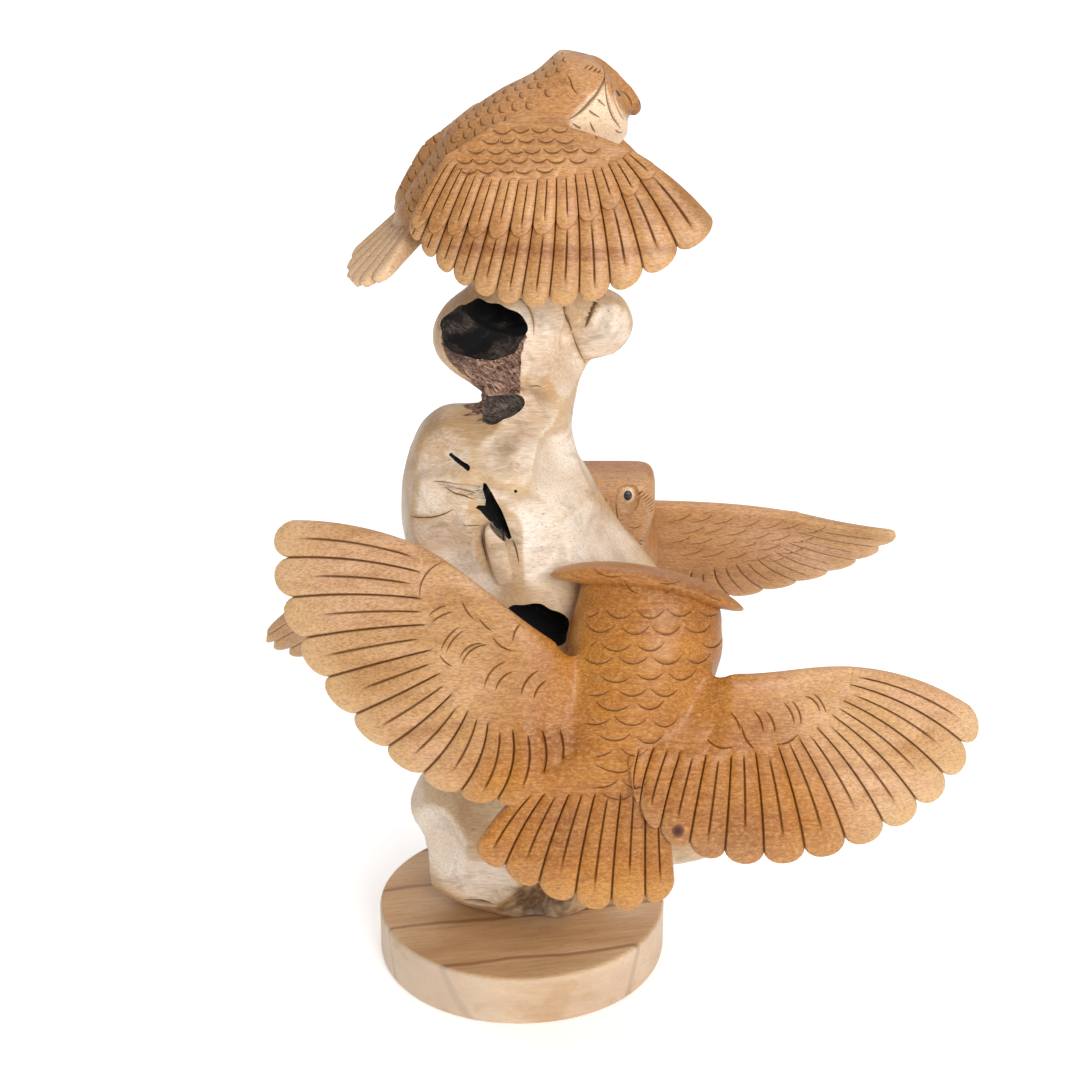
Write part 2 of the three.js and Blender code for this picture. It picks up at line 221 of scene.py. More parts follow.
BARK = np.array([
    (316, -22, -12),
    (319, -26, -9),
    (322, -25, -6),
    (326, -23, -2),
    (330, -21.5, 0),
    (338, -27, 0.5),
    (343, -32, 0.5),
    (350, -36, 0.5),
    (358, -38, 2),
    (363, -37, 3.5),
    (368, -30, 2),
])  # the front of the neck that rot has turned to bark: height, its left edge and its right edge
WEATHERED = np.array([
    (-44, 290.4, 290.8),
    (-39, 289.4, 291.3),
    (-32, 285.6, 291.4),
    (-26, 285.0, 290.8),
    (-17, 281.0, 291.0),
])  # the strip of bare grey fibres that runs into the cleft: x, its lower edge and its upper edge
DIRT_AND_SHADE_SPOTS = (
    (-8, 306, 6, 0.3),
    (-42, 312, 7, 0.35),
    # painted shade along the front owl's left wing edge
    (-26, 248, 10, 0.35),
    (-42, 264, 5, 0.3),
    (-30, 274, 7, 0.25),
    # painted shade in the recess under the front owl's tail
    (8, 41, 24, 1.0),
)  # where the sapwood is darkened by dirt, and by painted shade under the front owl's wing edge and tail: x, z, radius and how dark
TANS = (
    (10, 348, 26, 0.75),
    (-4, 318, 24, 0.8),
    (-40, 310, 20, 0.9),
    (-30, 270, 20, 0.6),
    (8, 384, 14, 0.5),
    (-36, 90, 20, 0.3),
    (-24, 384, 18, 1.0),
    (-40, 368, 9, 1.0),
)  # where the sapwood is tan: x, z, radius and how far
BARK_SLANT = 40  # the bark's ridges run down to the right


def mottle(x, y, z, size, seed=0):
    """Smooth noise from -1 to 1 that changes over about the given size."""
    return np.array([noise.noise(Vector((a / size, b / size, c / size + seed))) for a, b, c in zip(x, y, z)])


def soft_min(a, b, edge):
    """The lesser of two, with a rounded edge between them."""
    share = np.clip(0.5 + 0.5 * (b - a) / edge, 0, 1)
    return mix(b, a, share) - edge * share * (1 - share)


def mix(a, b, share):
    return a + (b - a) * share


def smooth(value, low, high):
    """A soft step from 0 at low to 1 at high."""
    share = np.clip((value - low) / (high - low), 0, 1)
    return share * share * (3 - 2 * share)


def turned(x, y, angle):
    """A pair of coordinates turned by so many degrees."""
    c, s = math.cos(math.radians(angle)), math.sin(math.radians(angle))
    return c * x - s * y, s * x + c * y


def reach_in(x, y, z, centre, half):
    """How far a point is out of an ellipsoid's centre: 1 on its surface."""
    return np.sqrt(sum(((p - c) / h) ** 2 for p, c, h in zip((x, y, z), centre, half)))


def root_field(x, y, z):
    """Below zero inside the wood, in about a millimetre for each unit."""
    total = sum(
        np.exp((1 - reach_in(x, y, z, centre, half)) * min(half) / SWELLING_BLEND) for centre, half in SWELLINGS
    )
    return -SWELLING_BLEND * np.log(np.maximum(total, 1e-30))


def between(table, at, value):
    """How far inside a table's band a value lies, in millimetres."""
    low, high = (np.interp(at, table[:, 0], table[:, k]) for k in (1, 2))
    outside = np.maximum(table[0, 0] - at, at - table[-1, 0])
    return np.minimum(np.minimum(value - low, high - value), -outside)


def spine_at(height):
    """The x and y of the spine, eased from station to station."""
    k = np.clip(np.searchsorted(SPINE[:, 0], height), 1, len(SPINE) - 1)
    low, high = SPINE[k - 1], SPINE[k]
    share = smooth(height, low[:, 0], high[:, 0])[:, None]
    return mix(low[:, 1:], high[:, 1:], share).T


root_notes = {}


def root_shape(x, y, z):
    """A unit ball drawn up along the spine, flat under the foot, its wall where the field turns to zero."""
    share = np.arccos(np.clip(-z, -1, 1)) / math.pi
    height = mix(plinth_height + SEAT_GAP, ROOT_TOP, np.clip((share - ROOT_CAP) / (1 - 2 * ROOT_CAP), 0, 1))
    cx, cy = spine_at(height)
    azimuth = np.arctan2(y, x)
    azimuth = azimuth - ROOT_CROWD * np.cos(azimuth)
    dx, dy = np.cos(azimuth), np.sin(azimuth)
    near, far = np.zeros(len(x)), np.full(len(x), float(ROOT_REACH))
    for _ in range(24):
        middle = (near + far) / 2
        inside = root_field(cx + dx * middle, cy + dy * middle, height) < 0
        near, far = np.where(inside, middle, near), np.where(inside, far, middle)
    facet = np.zeros(len(x))
    for px, py, pz, azimuth, elevation, shave in FLATS:
        azimuth, elevation = math.radians(azimuth), math.radians(elevation)
        nx, ny = math.cos(elevation) * math.cos(azimuth), math.cos(elevation) * math.sin(azimuth)
        nz = math.sin(elevation)
        facing = dx * nx + dy * ny
        gap = (px - cx) * nx + (py - cy) * ny + (pz - height) * nz - shave
        plane = np.where(facing > 0.15, gap / np.maximum(facing, 0.15), ROOT_REACH)
        away = np.sqrt((cx + dx * near - px) ** 2 + (cy + dy * near - py) ** 2 + (height - pz) ** 2)
        zone = 1 - smooth(away, FLAT_REACH * 0.6, FLAT_REACH)
        facet = np.maximum(facet, zone * smooth(near - plane, -0.3, 0.6))
        near = mix(near, soft_min(near, plane, FLAT_EDGE), zone)
    x, y = cx + dx * near, cy + dy * near
    for at_x, at_z, half_x, half_z, lean, rise in LUMPS:
        u, v = turned(x - at_x, height - at_z, lean)
        d = np.hypot(u / half_x, v / half_z)
        near = near + rise * smooth(1 - d, 0, 0.45) * (dy < 0.2)
    near = near + 0.9 * mottle(x, y, height, 21) + 0.35 * mottle(x, y, height, 8, 5)
    front = dy < 0.3
    bark = between(BARK, height, x) + 0.8 * mottle(x, y, height, 4, 3)
    down, across = turned(x, height, BARK_SLANT)
    ridges = 1.9 * mottle(down * 0.45, y, across, 4.2, 7) + 1.3 * mottle(down * 0.5, y, across, 2.2, 9)
    near = near - front * smooth(bark, -0.3, 1.2) * (1.5 - ridges)
    strip = between(WEATHERED, x, height) + 0.6 * mottle(x, y, height, 3, 2)
    near = near - front * smooth(strip, -0.3, 0.6) * (0.8 + 0.5 * np.sin(height * 3.2 + 2 * mottle(x, y, height, 6)))
    root_notes["bark"] = np.where(front, bark, -9)
    root_notes["grey"] = np.where(front, strip, -9)
    root_notes["black_rot_and_shade"] = mix(0.1, 0.75, smooth(height - 0.75 * (x + 20), 344, 364))
    root_notes["facet"] = facet
    # Dirt darkens the front of the root, and painted shade darkens it under the front owl's wing edge and tail.
    dirt = np.zeros(len(x))
    for at_x, at_z, radius, dark in DIRT_AND_SHADE_SPOTS:
        away = np.hypot(x - at_x, height - at_z) / radius + 0.5 * mottle(x, y, height, 5, 1)
        dirt = np.maximum(dirt, dark * (1 - smooth(away, 0.4, 1.1)))
    root_notes["dirt"] = front * dirt * (0.8 + 0.5 * mottle(x, y, height, 2.2, 6))
    tan = np.zeros(len(x))
    for at_x, at_z, radius, most in TANS:
        away = np.hypot(x - at_x, height - at_z) / radius + 0.4 * mottle(x, y, height, 9, 4)
        tan = np.maximum(tan, most * (1 - smooth(away, 0.3, 1.1)))
    root_notes["tan"] = front * tan
    cap = np.clip(np.minimum(share, 1 - share) / ROOT_CAP, 0, 1)
    return cx + dx * near * cap, cy + dy * near * cap, height


def ball(name, around, rings):
    """A unit ball to be drawn into a form."""
    bpy.ops.mesh.primitive_uv_sphere_add(segments=around, ring_count=rings, radius=1)
    piece = bpy.context.object
    piece.name = name
    return piece


SAPWOOD, HEARTWOOD, ROTTED, EYE = range(4)


def of_wood(piece, kind):
    """Marks a piece's faces as one kind of wood. The marks outlast joining and cutting."""
    while len(piece.data.materials) < 4:
        piece.data.materials.append(None)
    piece.data.polygons.foreach_set("material_index", [kind] * len(piece.data.polygons))
    return piece


def note(piece, name, values):
    """Writes a value for each vertex, which the wood's finish reads."""
    layer = piece.data.attributes.get(name) or piece.data.attributes.new(name, "FLOAT", "POINT")
    layer.data.foreach_set("value", np.broadcast_to(values, len(piece.data.vertices)).astype(np.float32))


def faces_out(piece):
    edit(piece, lambda: bpy.ops.mesh.normals_make_consistent(inside=False))
    return piece


root = reshape(ball("owl_root", ROOT_AROUND, ROOT_RINGS), root_shape)
note(root, "bark", np.clip(0.5 + root_notes["bark"] / 3, 0, 1))
note(root, "grey", np.clip(0.5 + root_notes["grey"] / 3, 0, 1))
note(root, "black_rot_and_shade", root_notes["black_rot_and_shade"])
# The adze flats are painted paler: a painted highlight where they catch the light.
note(root, "pale", root_notes["facet"])
note(root, "dark_and_shaded", np.clip(root_notes["dirt"], 0, 1))
note(root, "tan", root_notes["tan"])
note(root, "own", 1)
of_wood(faces_out(root), SAPWOOD)

# Wings and tails: each is a fan of feathers on one sheet of wood, cut into lobes with a V groove between two feathers
# and a shorter groove down each feather's shaft, both cut with a V tool. The coverts over the roots are left smooth.
FEATHER_COLUMNS = (0, 0.04, 0.1, 0.22, 0.36, 0.455, 0.5, 0.545, 0.64, 0.78, 0.9, 0.96)
TIER_STEP = 2.2  # how far an upper tier of feathers lies over the lower one
COVERT_ROWS = (-1, -0.985, -0.95, -0.9, -0.84, -0.76, -0.66, -0.56, -0.46, -0.36, -0.27, -0.19, -0.12, -0.06, -0.02)


def cubic(points, t):
    """Points on a cubic curve with four handles."""
    a, b, c, d = (np.array(p, dtype=float)[:, None] for p in points)
    return a * (1 - t) ** 3 + 3 * b * t * (1 - t) ** 2 + 3 * c * t**2 * (1 - t) + d * t**3


def slab(name, across, along):
    """A closed slab of unit thickness with a grid of so many faces on each side."""
    bpy.ops.mesh.primitive_grid_add(x_subdivisions=across, y_subdivisions=along, size=2)
    piece = bpy.context.object
    piece.name = name
    edit(piece, lambda: bpy.ops.mesh.extrude_region_move(TRANSFORM_OT_translate={"value": (0, 0, 1)}))
    return piece


def groove(across, half_width):
    """A V that is 1 deep on its line and 0 at half its width."""
    return np.clip(1 - np.abs(across) / half_width, 0, 1)


def fan(name, plan, stand, rows=28):
    """The sheet of a wing or tail, from its lead edge over the coverts to the rounded tips of the feathers."""
    feathers = plan["feathers"]
    columns = np.array([i + f for i in range(feathers) for f in FEATHER_COLUMNS] + [feathers], dtype=float)
    ends = 1 - (1 - np.linspace(0, 1, rows + 1)) ** 1.25
    ladder = np.concatenate([COVERT_ROWS, ends])
    tier = plan.get("tier")
    step_row, next_row = ends[rows // 2], ends[rows // 2 + 1]
    piece = slab(name, len(columns) - 1, len(ladder) - 1)
    made = {}

    def shape(x, y, z):
        place = columns[np.rint((x + 1) / 2 * (len(columns) - 1)).astype(int)]
        row = ladder[np.rint((y + 1) / 2 * (len(ladder) - 1)).astype(int)]
        t = place / feathers
        f = place - np.floor(place)
        across = 2 * f - 1
        edge = np.abs(across)
        root_x, root_y = cubic(plan["roots"], t)
        tip_x, tip_y = cubic(plan["tips"], t)
        lead_x, lead_y = cubic(plan["lead"], 1 - t)
        round_end = 0.5 * edge**3 + 0.5 * (1 - np.sqrt(np.maximum(1 - edge**2, 0)))
        under = row > step_row
        if tier:
            ends_at = np.interp(t, *tier) * (1 - 0.2 * round_end)
            row = np.where(
                row <= 0,
                row,
                np.where(
                    under,
                    mix(ends_at + 0.008, 1, (row - next_row) / (1 - next_row)),
                    row / step_row * ends_at,
                ),
            )
        length = np.maximum(row, 0) * (1 - plan["notch"] * round_end)
        covert = row < 0
        to_x, to_y = np.where(covert, lead_x, tip_x), np.where(covert, lead_y, tip_y)
        share = np.where(covert, -row, length)
        side_x, side_y = root_y - tip_y, tip_x - root_x
        norm = np.maximum(np.hypot(side_x, side_y), 1e-9)
        bend = mix(*plan["bow"], t) * 4 * length * (1 - length) / norm
        at_x = mix(root_x, to_x, share) + side_x * bend
        at_y = mix(root_y, to_y, share) + side_y * bend
        front, middle, end = plan["thick"]
        thickness = np.where(
            covert, mix(middle, front, np.maximum(-row, 0) * smooth(t, 0, 0.3)), mix(middle, end, length)
        )
        rim = np.clip((1 + row) / 0.22, 0, 1)
        thickness = thickness * np.where(covert, mix(0.3, 1, np.sqrt(1 - (1 - rim) ** 2)), 1)
        thickness = thickness * mix(0.5, 1, smooth(1 - row, 0, 0.05))
        thickness = thickness * mix(0.45, 1, smooth(place, 0, 0.14)) * mix(0.7, 1, smooth(feathers - place, 0, 0.1))
        feathered = smooth(row, -0.03, 0.04)
        lobe = plan["ridge"] * (1 - edge**2.4) * smooth(row, -0.25, 0.15)
        inner = (place > 0.5) & (place < feathers - 0.5)
        parting = 1.5 * groove(np.minimum(f, 1 - f), plan.get("parting", 0.045)) * feathered * np.where(inner, 1, 0.2)
        start, end_row = np.zeros(len(row)), np.ones(len(row))
        if tier:
            start, end_row = np.where(under, ends_at, 0), np.where(under, 1, ends_at)
        down = (row - start) / np.maximum(end_row - start, 1e-6)
        own = 0.5 + 0.5 * np.sin(np.floor(np.minimum(place, feathers - 0.5)) * 2.4 + under)
        shaft = 1.3 * groove(f - 0.5, 0.05) * smooth(down, 0.04 * own, 0.05 + 0.08 * own)
        shaft = shaft * (1 - smooth(down, 0.52 + 0.16 * own, 0.78 + 0.14 * own))
        cut = np.minimum(parting + shaft, 0.42 * thickness)
        over = TIER_STEP * np.where(under, 0, smooth(row, -0.1, 0.25)) if tier else 0
        face = np.where(z > 0.5, thickness / 2 + lobe - cut + over, -thickness / 2 - 0.4 * lobe + 0.6 * cut)
        # The grooves are noted to be darkened: partly oil held in them, partly painted shade in their depths.
        made["cut"] = np.clip(cut / 1.2, 0, 1)
        made["row"] = row
        return stand(at_x, at_y, plan["dish"](at_x, at_y) + face)

    reshape(piece, shape)
    note(piece, "dark_and_shaded", made["cut"])
    note(piece, "length", np.maximum(made["row"], 0))
    note(piece, "own", 1)
    return of_wood(faces_out(piece), HEARTWOOD)


def stands(at, tilt, turn=0):
    """An owl's frame has x across, y up the back and z out of the back. It is stood up facing away from the front,
    tilted back, turned about the vertical and set in place. The same call also leads back into the frame."""

    def place(x, y, z, back=False):
        if back:
            x, out = turned(x - at[0], y - at[1], -turn)
            return x, *turned(out, z - at[2], tilt - 90)
        out, up = turned(y, z, 90 - tilt)
        x, out = turned(x, out, turn)
        return x + at[0], out + at[1], up + at[2]

    return place


def through(stations, share):
    """A smooth curve through stations, as a centripetal spline does it."""
    points = np.array(stations, dtype=float)
    first = 2 * points[0] - points[1]
    last = 2 * points[-1] - points[-2]
    points = np.vstack([first, points, last])
    count = len(stations)
    along = np.clip(share, 0, 1) * (count - 1)
    k = np.minimum(along.astype(int), count - 2)
    w = (along - k)[:, None]
    p0, p1, p2, p3 = (points[k + i] for i in range(4))
    chord = [np.maximum(np.linalg.norm((b - a)[:, :3], axis=1), 1e-6) ** 0.5 for a, b in ((p0, p1), (p1, p2), (p2, p3))]
    d0, d1, d2 = (c[:, None] for c in chord)
    t1 = ((p1 - p0) / d0 - (p2 - p0) / (d0 + d1) + (p2 - p1) / d1) * d1
    t2 = ((p2 - p1) / d1 - (p3 - p1) / (d1 + d2) + (p3 - p2) / d2) * d1
    return p1 + t1 * w + (3 * (p2 - p1) - 2 * t1 - t2) * w**2 + (2 * (p1 - p2) + t1 + t2) * w**3


def torso(name, stations, stand, around=64, rings=52):
    """The body from rump to crown. A station gives its place along the back and across, its height, half width and
    half depth."""
    table = np.array(stations, dtype=float)

    def shape(x, y, z):
        share = np.arccos(np.clip(-z, -1, 1)) / math.pi
        along, across, height = through(table[:, :3], share).T
        width, depth = through(np.column_stack([table[:, 3:], np.zeros(len(table))]), share).T[:2]
        out = np.maximum(np.hypot(x, y), 1e-9)
        tip = np.hypot(x, y) > 1e-6
        return stand(across + x / out * width * tip, along, height + y / out * depth * tip)

    piece = reshape(ball(name, around, rings), shape)
    note(piece, "own", 1)
    return of_wood(faces_out(piece), HEARTWOOD)


def brow(name, plan, stand):
    """The flat crown of an owl's head, a bar that runs out into an ear tuft at each end."""

    def shape(x, y, z):
        share = (z + 1) / 2
        at_x = mix(plan["left"][0], plan["right"][0], share)
        full = (1 - np.abs(z) ** 3) ** 0.6 / np.maximum(np.sqrt(1 - z * z), 0.05)
        at_y = mix(plan["left"][1], plan["right"][1], share) + plan["rise"] * (1 - z * z)
        return stand(at_x, at_y + x * full * plan["thick"], plan["height"] + y * full * plan["depth"])

    piece = reshape(ball(name, 40, 40), shape)
    note(piece, "own", 1)
    return of_wood(faces_out(piece), HEARTWOOD)


def knob(name, at, half, tip, stand, around=32, rings=20):
    """A round swelling in the owl's own frame, tipped forward by so many degrees."""

    def shape(x, y, z):
        up, out = turned(y * half[1], z * half[2], tip)
        return stand(x * half[0] + at[0], up + at[1], out + at[2])

    piece = reshape(ball(name, around, rings), shape)
    note(piece, "own", 1)
    return of_wood(faces_out(piece), HEARTWOOD)


def head(name, plan, stand):
    """A head with a flat crown and a flat face: a block with rounded edges that narrows to the chin."""

    def shape(x, y, z):
        x, y, z = (np.sign(v) * np.abs(v) ** power for v, power in zip((x, y, z), plan["round"]))
        wide, high, deep = plan["half"]
        return stand(x * wide * (1 - plan["chin"] * smooth(-z, 0, 1)), z * high, y * deep)

    piece = reshape(ball(name, 96, 64), shape)
    note(piece, "own", 1)
    return of_wood(faces_out(piece), HEARTWOOD)


# How the carver finishes an owl: its pieces are one wood, so the seams between body, wings and brow are sanded until
# they flow, and then the scales and feather roots are drawn with short strokes of a V tool.
STROKE_LIFT = 0.5
STROKE_RISE = 0.12
STROKE_JUMP = 8
AIM_FROM = 90.0
STROKE = (1.5, 0.9)  # width and depth of a usual stroke
SCALE = (1.7, 0.7)  # of one that draws a scale: the tool leans, so the cut is steep on the scale's side and flat below
SCALE_LEAN = 0.78
HAIRLINE = (1.1, 0.6)


def boolean(piece, others, operation):
    """Joins the others to the piece or cuts them out of it, and deletes them."""
    group = bpy.data.collections.new(operation)
    for other in others:
        group.objects.link(other)
    apply_modifier(
        piece, "BOOLEAN", operation=operation, operand_type="COLLECTION", collection=group, solver="MANIFOLD"
    )
    bpy.data.collections.remove(group)
    for other in others:
        bpy.data.objects.remove(other)


def join(pieces, name):
    """Makes one piece of wood out of several."""
    whole = pieces[0]
    boolean(whole, pieces[1:], "UNION")
    whole.name = name
    return whole


def values_of(piece, name):
    """What note wrote for each vertex, or 0 where nothing did."""
    values = np.zeros(len(piece.data.vertices))
    layer = piece.data.attributes.get(name)
    if layer:
        layer.data.foreach_get("value", values)
    return values


def heal(piece, name, rounds=3):
    """Gives the new vertices on a seam the note of their neighbours."""
    own = values_of(piece, "own")
    pairs = np.empty(2 * len(piece.data.edges), dtype=np.int32)
    piece.data.edges.foreach_get("vertices", pairs)
    pairs = pairs.reshape(-1, 2)
    for _ in range(rounds):
        values = values_of(piece, name)
        best = values.copy()
        for a, b in ((0, 1), (1, 0)):
            np.maximum.at(best, pairs[:, a], values[pairs[:, b]])
        note(piece, name, np.where(own < 0.5, best, values))


def sand(piece, reach, rounds, zone):
    """Softens the seams where pieces were joined, as far as the zone lets it, and leaves the feathers crisp. Joining
    gives the seam new vertices, which are the ones that carry no note of their own."""
    points = points_of(piece) / MM
    seam = points[values_of(piece, "own") < 0.5]
    tree = KDTree(len(seam))
    for i, point in enumerate(seam):
        tree.insert(point, i)
    tree.balance()
    away = np.array([tree.find(point)[2] for point in points])
    weight = (1 - smooth(away, reach * 0.4, reach)) * (1 - smooth(values_of(piece, "length"), 0, 0.04))
    weight = weight * zone(*points.T)
    group = piece.vertex_groups.new(name="seam")
    for level in range(1, 11):
        chosen = np.nonzero(np.rint(weight * 10) == level)[0]
        group.add([int(i) for i in chosen], level / 10, "REPLACE")
    apply_modifier(piece, "SMOOTH", factor=0.6, iterations=rounds, vertex_group="seam")
    piece.vertex_groups.clear()
    note(piece, "own", 1)


def arc(x, y, radius, start, end, count=9):
    """Points along an arc, its angles in degrees."""
    angles = np.radians(np.linspace(start, end, count))
    return x + radius * np.cos(angles), y + radius * np.sin(angles)


def over(stand, side=1):
    """Aims a stroke's guide points at an owl from straight above its back, or its belly where the side is -1. Every
    aim says how near and how far the wood may be met."""

    def aim(x, y):
        far = np.full(len(x), AIM_FROM * side)
        return np.column_stack(stand(x, y, far)), np.column_stack(stand(x, y, -far)), 0, 2 * AIM_FROM

    return aim


def around(stand, x, z, most):
    """Aims guide points at a body from all around it: the angle about its axis, in degrees, and the place along it.
    What stands out further than the body's own half width isn't met."""

    def aim(turn, along):
        dx, dz = AIM_FROM * np.cos(np.radians(turn)), AIM_FROM * np.sin(np.radians(turn))
        start, axis = np.column_stack(stand(x + dx, along, z + dz)), np.column_stack(stand(x, along, z))
        return start, axis, AIM_FROM - most, AIM_FROM

    return aim


def carve(piece, strokes):
    """Cuts V tool strokes into the piece. A stroke is how its guide is aimed, its guide points, its width and its
    depth. Each guide is cast on to the wood, and the cut runs in and out of it at its ends."""
    tree = BVHTree.FromPolygons(
        [tuple(p) for p in points_of(piece) / MM], [tuple(f.vertices) for f in piece.data.polygons]
    )
    corners, faces, notes = [], [], []
    for aim, (first, second), width, depth in strokes:
        starts, ends, nearest, furthest = aim(np.asarray(first, dtype=float), np.asarray(second, dtype=float))
        spots, normals = [], []
        for start, end in zip(starts, ends):
            spot, normal, _, away = tree.ray_cast(Vector(start), Vector(end - start).normalized(), furthest)
            met = spot is not None and away >= nearest
            if not met or (spots and (spot - Vector(spots[-1])).length > STROKE_JUMP):
                if len(spots) > 3:
                    break
                spots, normals = [], []
            if not met:
                continue
            spots.append(tuple(spot))
            normals.append(tuple(normal))
        if len(spots) < 4:
            continue
        spots, normals = np.array(spots), np.array(normals)
        for _ in range(2):
            normals[1:-1] = normals[:-2] + normals[1:-1] + normals[2:]
            normals /= np.linalg.norm(normals, axis=1)[:, None]
        along = np.gradient(spots, axis=0)
        side = np.cross(along, normals)
        side /= np.maximum(np.linalg.norm(side, axis=1), 1e-9)[:, None]
        share = np.linspace(0, 1, len(spots))
        deep = (depth * np.sin(np.pi * share) ** 0.55 - STROKE_RISE)[:, None]
        half = (deep + STROKE_LIFT + STROKE_RISE) * width / depth / 2
        lean = SCALE_LEAN if width == SCALE[0] else 0
        base = len(corners)
        for i in range(len(spots)):
            corners.append(spots[i] - normals[i] * deep[i])
            corners.append(spots[i] + normals[i] * STROKE_LIFT + side[i] * half[i] * (1 + lean))
            corners.append(spots[i] + normals[i] * STROKE_LIFT - side[i] * half[i] * (1 - lean))
            # A cut is darkest at its floor, partly for oil and partly as painted shade; a leaning scale cut's flat side
            # is hardly darkened.
            notes.extend([1, 0.4 * (1 - lean), 0.4])
            if i:
                a, b = base + 3 * (i - 1), base + 3 * i
                faces.extend((a + j, a + (j + 1) % 3, b + (j + 1) % 3, b + j) for j in range(3))
        last = base + 3 * (len(spots) - 1)
        faces.extend([(base + 2, base + 1, base), (last, last + 1, last + 2)])
    mesh = bpy.data.meshes.new("v_tool")
    mesh.from_pydata([tuple(c * MM) for c in corners], [], faces)
    cutter = bpy.data.objects.new("v_tool", mesh)
    bpy.context.collection.objects.link(cutter)
    note(cutter, "dark_and_shaded", np.array(notes))
    kind = piece.data.polygons[0].material_index
    boolean(piece, [of_wood(faces_out(cutter), kind)], "DIFFERENCE")


# Front owl: seen from behind with its wings wide open, its belly grown into the root and its tail over the plinth.
# Its brow is a flat bar of wood that runs out into two ear tufts.
front_stand = stands((60, -86, 202), tilt=21)
FRONT_WING = {
    "notch": 0.1,
    "ridge": 1.1,
    "thick": (10, 7, 3.5),
    "dish": lambda x, y: -22 * ((x + 10) / 150) ** 2 - 4 * np.maximum(0, -y / 100) ** 2,
}
FRONT_LEFT_WING = FRONT_WING | {
    "dish": lambda x, y: FRONT_WING["dish"](x, y) - 9 * smooth(x, -64, -24),
    "feathers": 11,
    "lead": ((-33, 20), (-60, 34), (-81, 58), (-108, 72)),
    "roots": ((-108, 72), (-110, 27), (-99, -32), (-32, -14)),
    "tips": ((-179, 84), (-201, 18), (-89, -87), (-42, -43)),
    "bow": (-4, 6),
}
FRONT_RIGHT_WING = FRONT_WING | {
    "dish": lambda x, y: FRONT_WING["dish"](x, y) - 10 * smooth(-x, -44, -24) * smooth(y, -34, -6),
    "feathers": 12,
    "lead": ((27, 13), (52, 6), (77, 15), (102, 13)),
    "roots": ((102, 13), (103, -22), (39, -43), (-6, -18)),
    "tips": ((169, -12), (162, -90), (-3, -110), (-6, -39)),
    "bow": (5, -2),
}
FRONT_TAIL = {
    "feathers": 6,
    "lead": ((6, -34), (-12, -25), (-32, -25), (-44, -34)),
    "roots": ((-58, -46), (-38, -50), (-8, -41), (12, -52)),
    "tips": ((-83, -77), (-57, -98), (-10, -119), (16, -96)),
    "bow": (-2, 0),
    "notch": 0.1,
    "ridge": 1.2,
    "thick": (16, 10, 4),
    "dish": lambda x, y: -7 - 3 * np.maximum(0, (-y - 40) / 60),
}
FRONT_BODY = (
    (-58, -19, -18, 5, 4),
    (-46, -17, -18, 22, 13),
    (-26, -11, -20, 30, 22),
    (-4, -4, -24, 37, 28),
    (18, 1, -24, 38.5, 28),
    (40, 3, -24, 36, 25),
    (52, 2, -22, 32, 20),
    (58, -4, -21, 23, 17),
    (61, -7, -21, 6, 5),
)
FRONT_BROW = {"left": (-45, 57.5), "right": (50, 40.5), "rise": 6.5, "depth": 22.5, "thick": 6.4, "height": -20}
front_owl = [
    fan("front_left_wing", FRONT_LEFT_WING, front_stand),
    fan("front_right_wing", FRONT_RIGHT_WING, front_stand),
    fan("front_tail", FRONT_TAIL, front_stand, rows=24),
    torso("front_body", FRONT_BODY, front_stand),
    brow("front_brow", FRONT_BROW, front_stand),
]
FRONT_LEFT_ARCS = (
    (-93, 30, 13.6, 146, 97),
    (-88, 20, 20.9, 136, 100),
    (-79, 16, 19.8, 166, 119),
    (-77, 15, 19.2, 166, 118),
    (-90, 23, 9.2, -162, -102),
    (-79, 15, 10.2, 169, 75),
    (-75, 11.5, 13.3, 169, 85),
    (-62, 2.5, 14.9, 179, 103),
    (-60, 0.7, 11.6, 175, 101),
    (-44, -1.4, 15.3, 176, 112),
    (-41, -3.2, 12.1, 174, 115),
    (-65, 46, 16.8, -151, -118),
    (-62, 34, 12.1, -158, -91),
    (-53, 27, 10, -175, -236),
    (-92, 49, 16.3, -171, -256),
    (-73, 49, 14.9, -169, -124),
)  # scale strokes on the left wing's coverts: centre, radius, and the angles that they run between
FRONT_RIGHT_ARCS = (
    (58, -15, 15, 53, 1),
    (63, -13, 13.3, 53, -10),
    (43, -18, 14.7, 51, -1),
    (49, -18, 14.5, 49, -3),
    (76, -10, 9.8, 83, 7),
    (72, -13, 17.2, 55, 12),
    (65, -12, 18, -177, -126),
    (39, -15, 10.2, -152, -61),
    (32, -19, 14.7, 51, 7),
    (65, -11, 12.7, -97, -36),
)


def body_scales(aim, turns, alongs, radius, rng, bare=None):
    """Rows of U strokes around a body, each row set half a scale over from the last, but not where it is left bare."""
    strokes = []
    for k, along in enumerate(alongs):
        for turn in turns + (turns[1] - turns[0]) / 2 * (k % 2):
            at_turn, size = turn + rng.uniform(-1, 1), radius * rng.uniform(0.9, 1.04)
            at, to = arc(0, along + rng.uniform(-0.6, 0.6), size, -148 + rng.uniform(-8, 8), -32 + rng.uniform(-8, 8))
            if rng.random() > LEFT_OUT and not (bare and bare(turn, along)):
                strokes.append((aim, (at_turn + np.degrees(at / BODY_ROUND), to), *SCALE))
    return strokes


LEFT_OUT = 0.1  # the share of scales that the carver skipped
BODY_ROUND = 33  # the radius of a body's back that turns a scale's width into an angle
NAPE_LINES = (
    ((-24.5, 61.8), (-21.2, 59), (-15.6, 57.3), (-7.9, 59.1)),
    ((-10.1, 56.3), (-6.8, 51.4), (-1.9, 48.7)),
    ((7, 54.7), (11.9, 54.2), (18.7, 55.8)),
    ((15.3, 52.4), (12.5, 50.6), (9.7, 49.2)),
    ((28, 50), (33, 47.5), (38.5, 45)),
    ((-36, 58.5), (-31, 56.5), (-26, 56)),
)  # hairlines on the brow and the nape


def eased(points, count=20):
    """Points along a smooth curve through a few."""
    return through([(*point, 0) for point in points], np.linspace(0, 1, count))[:, :2].T


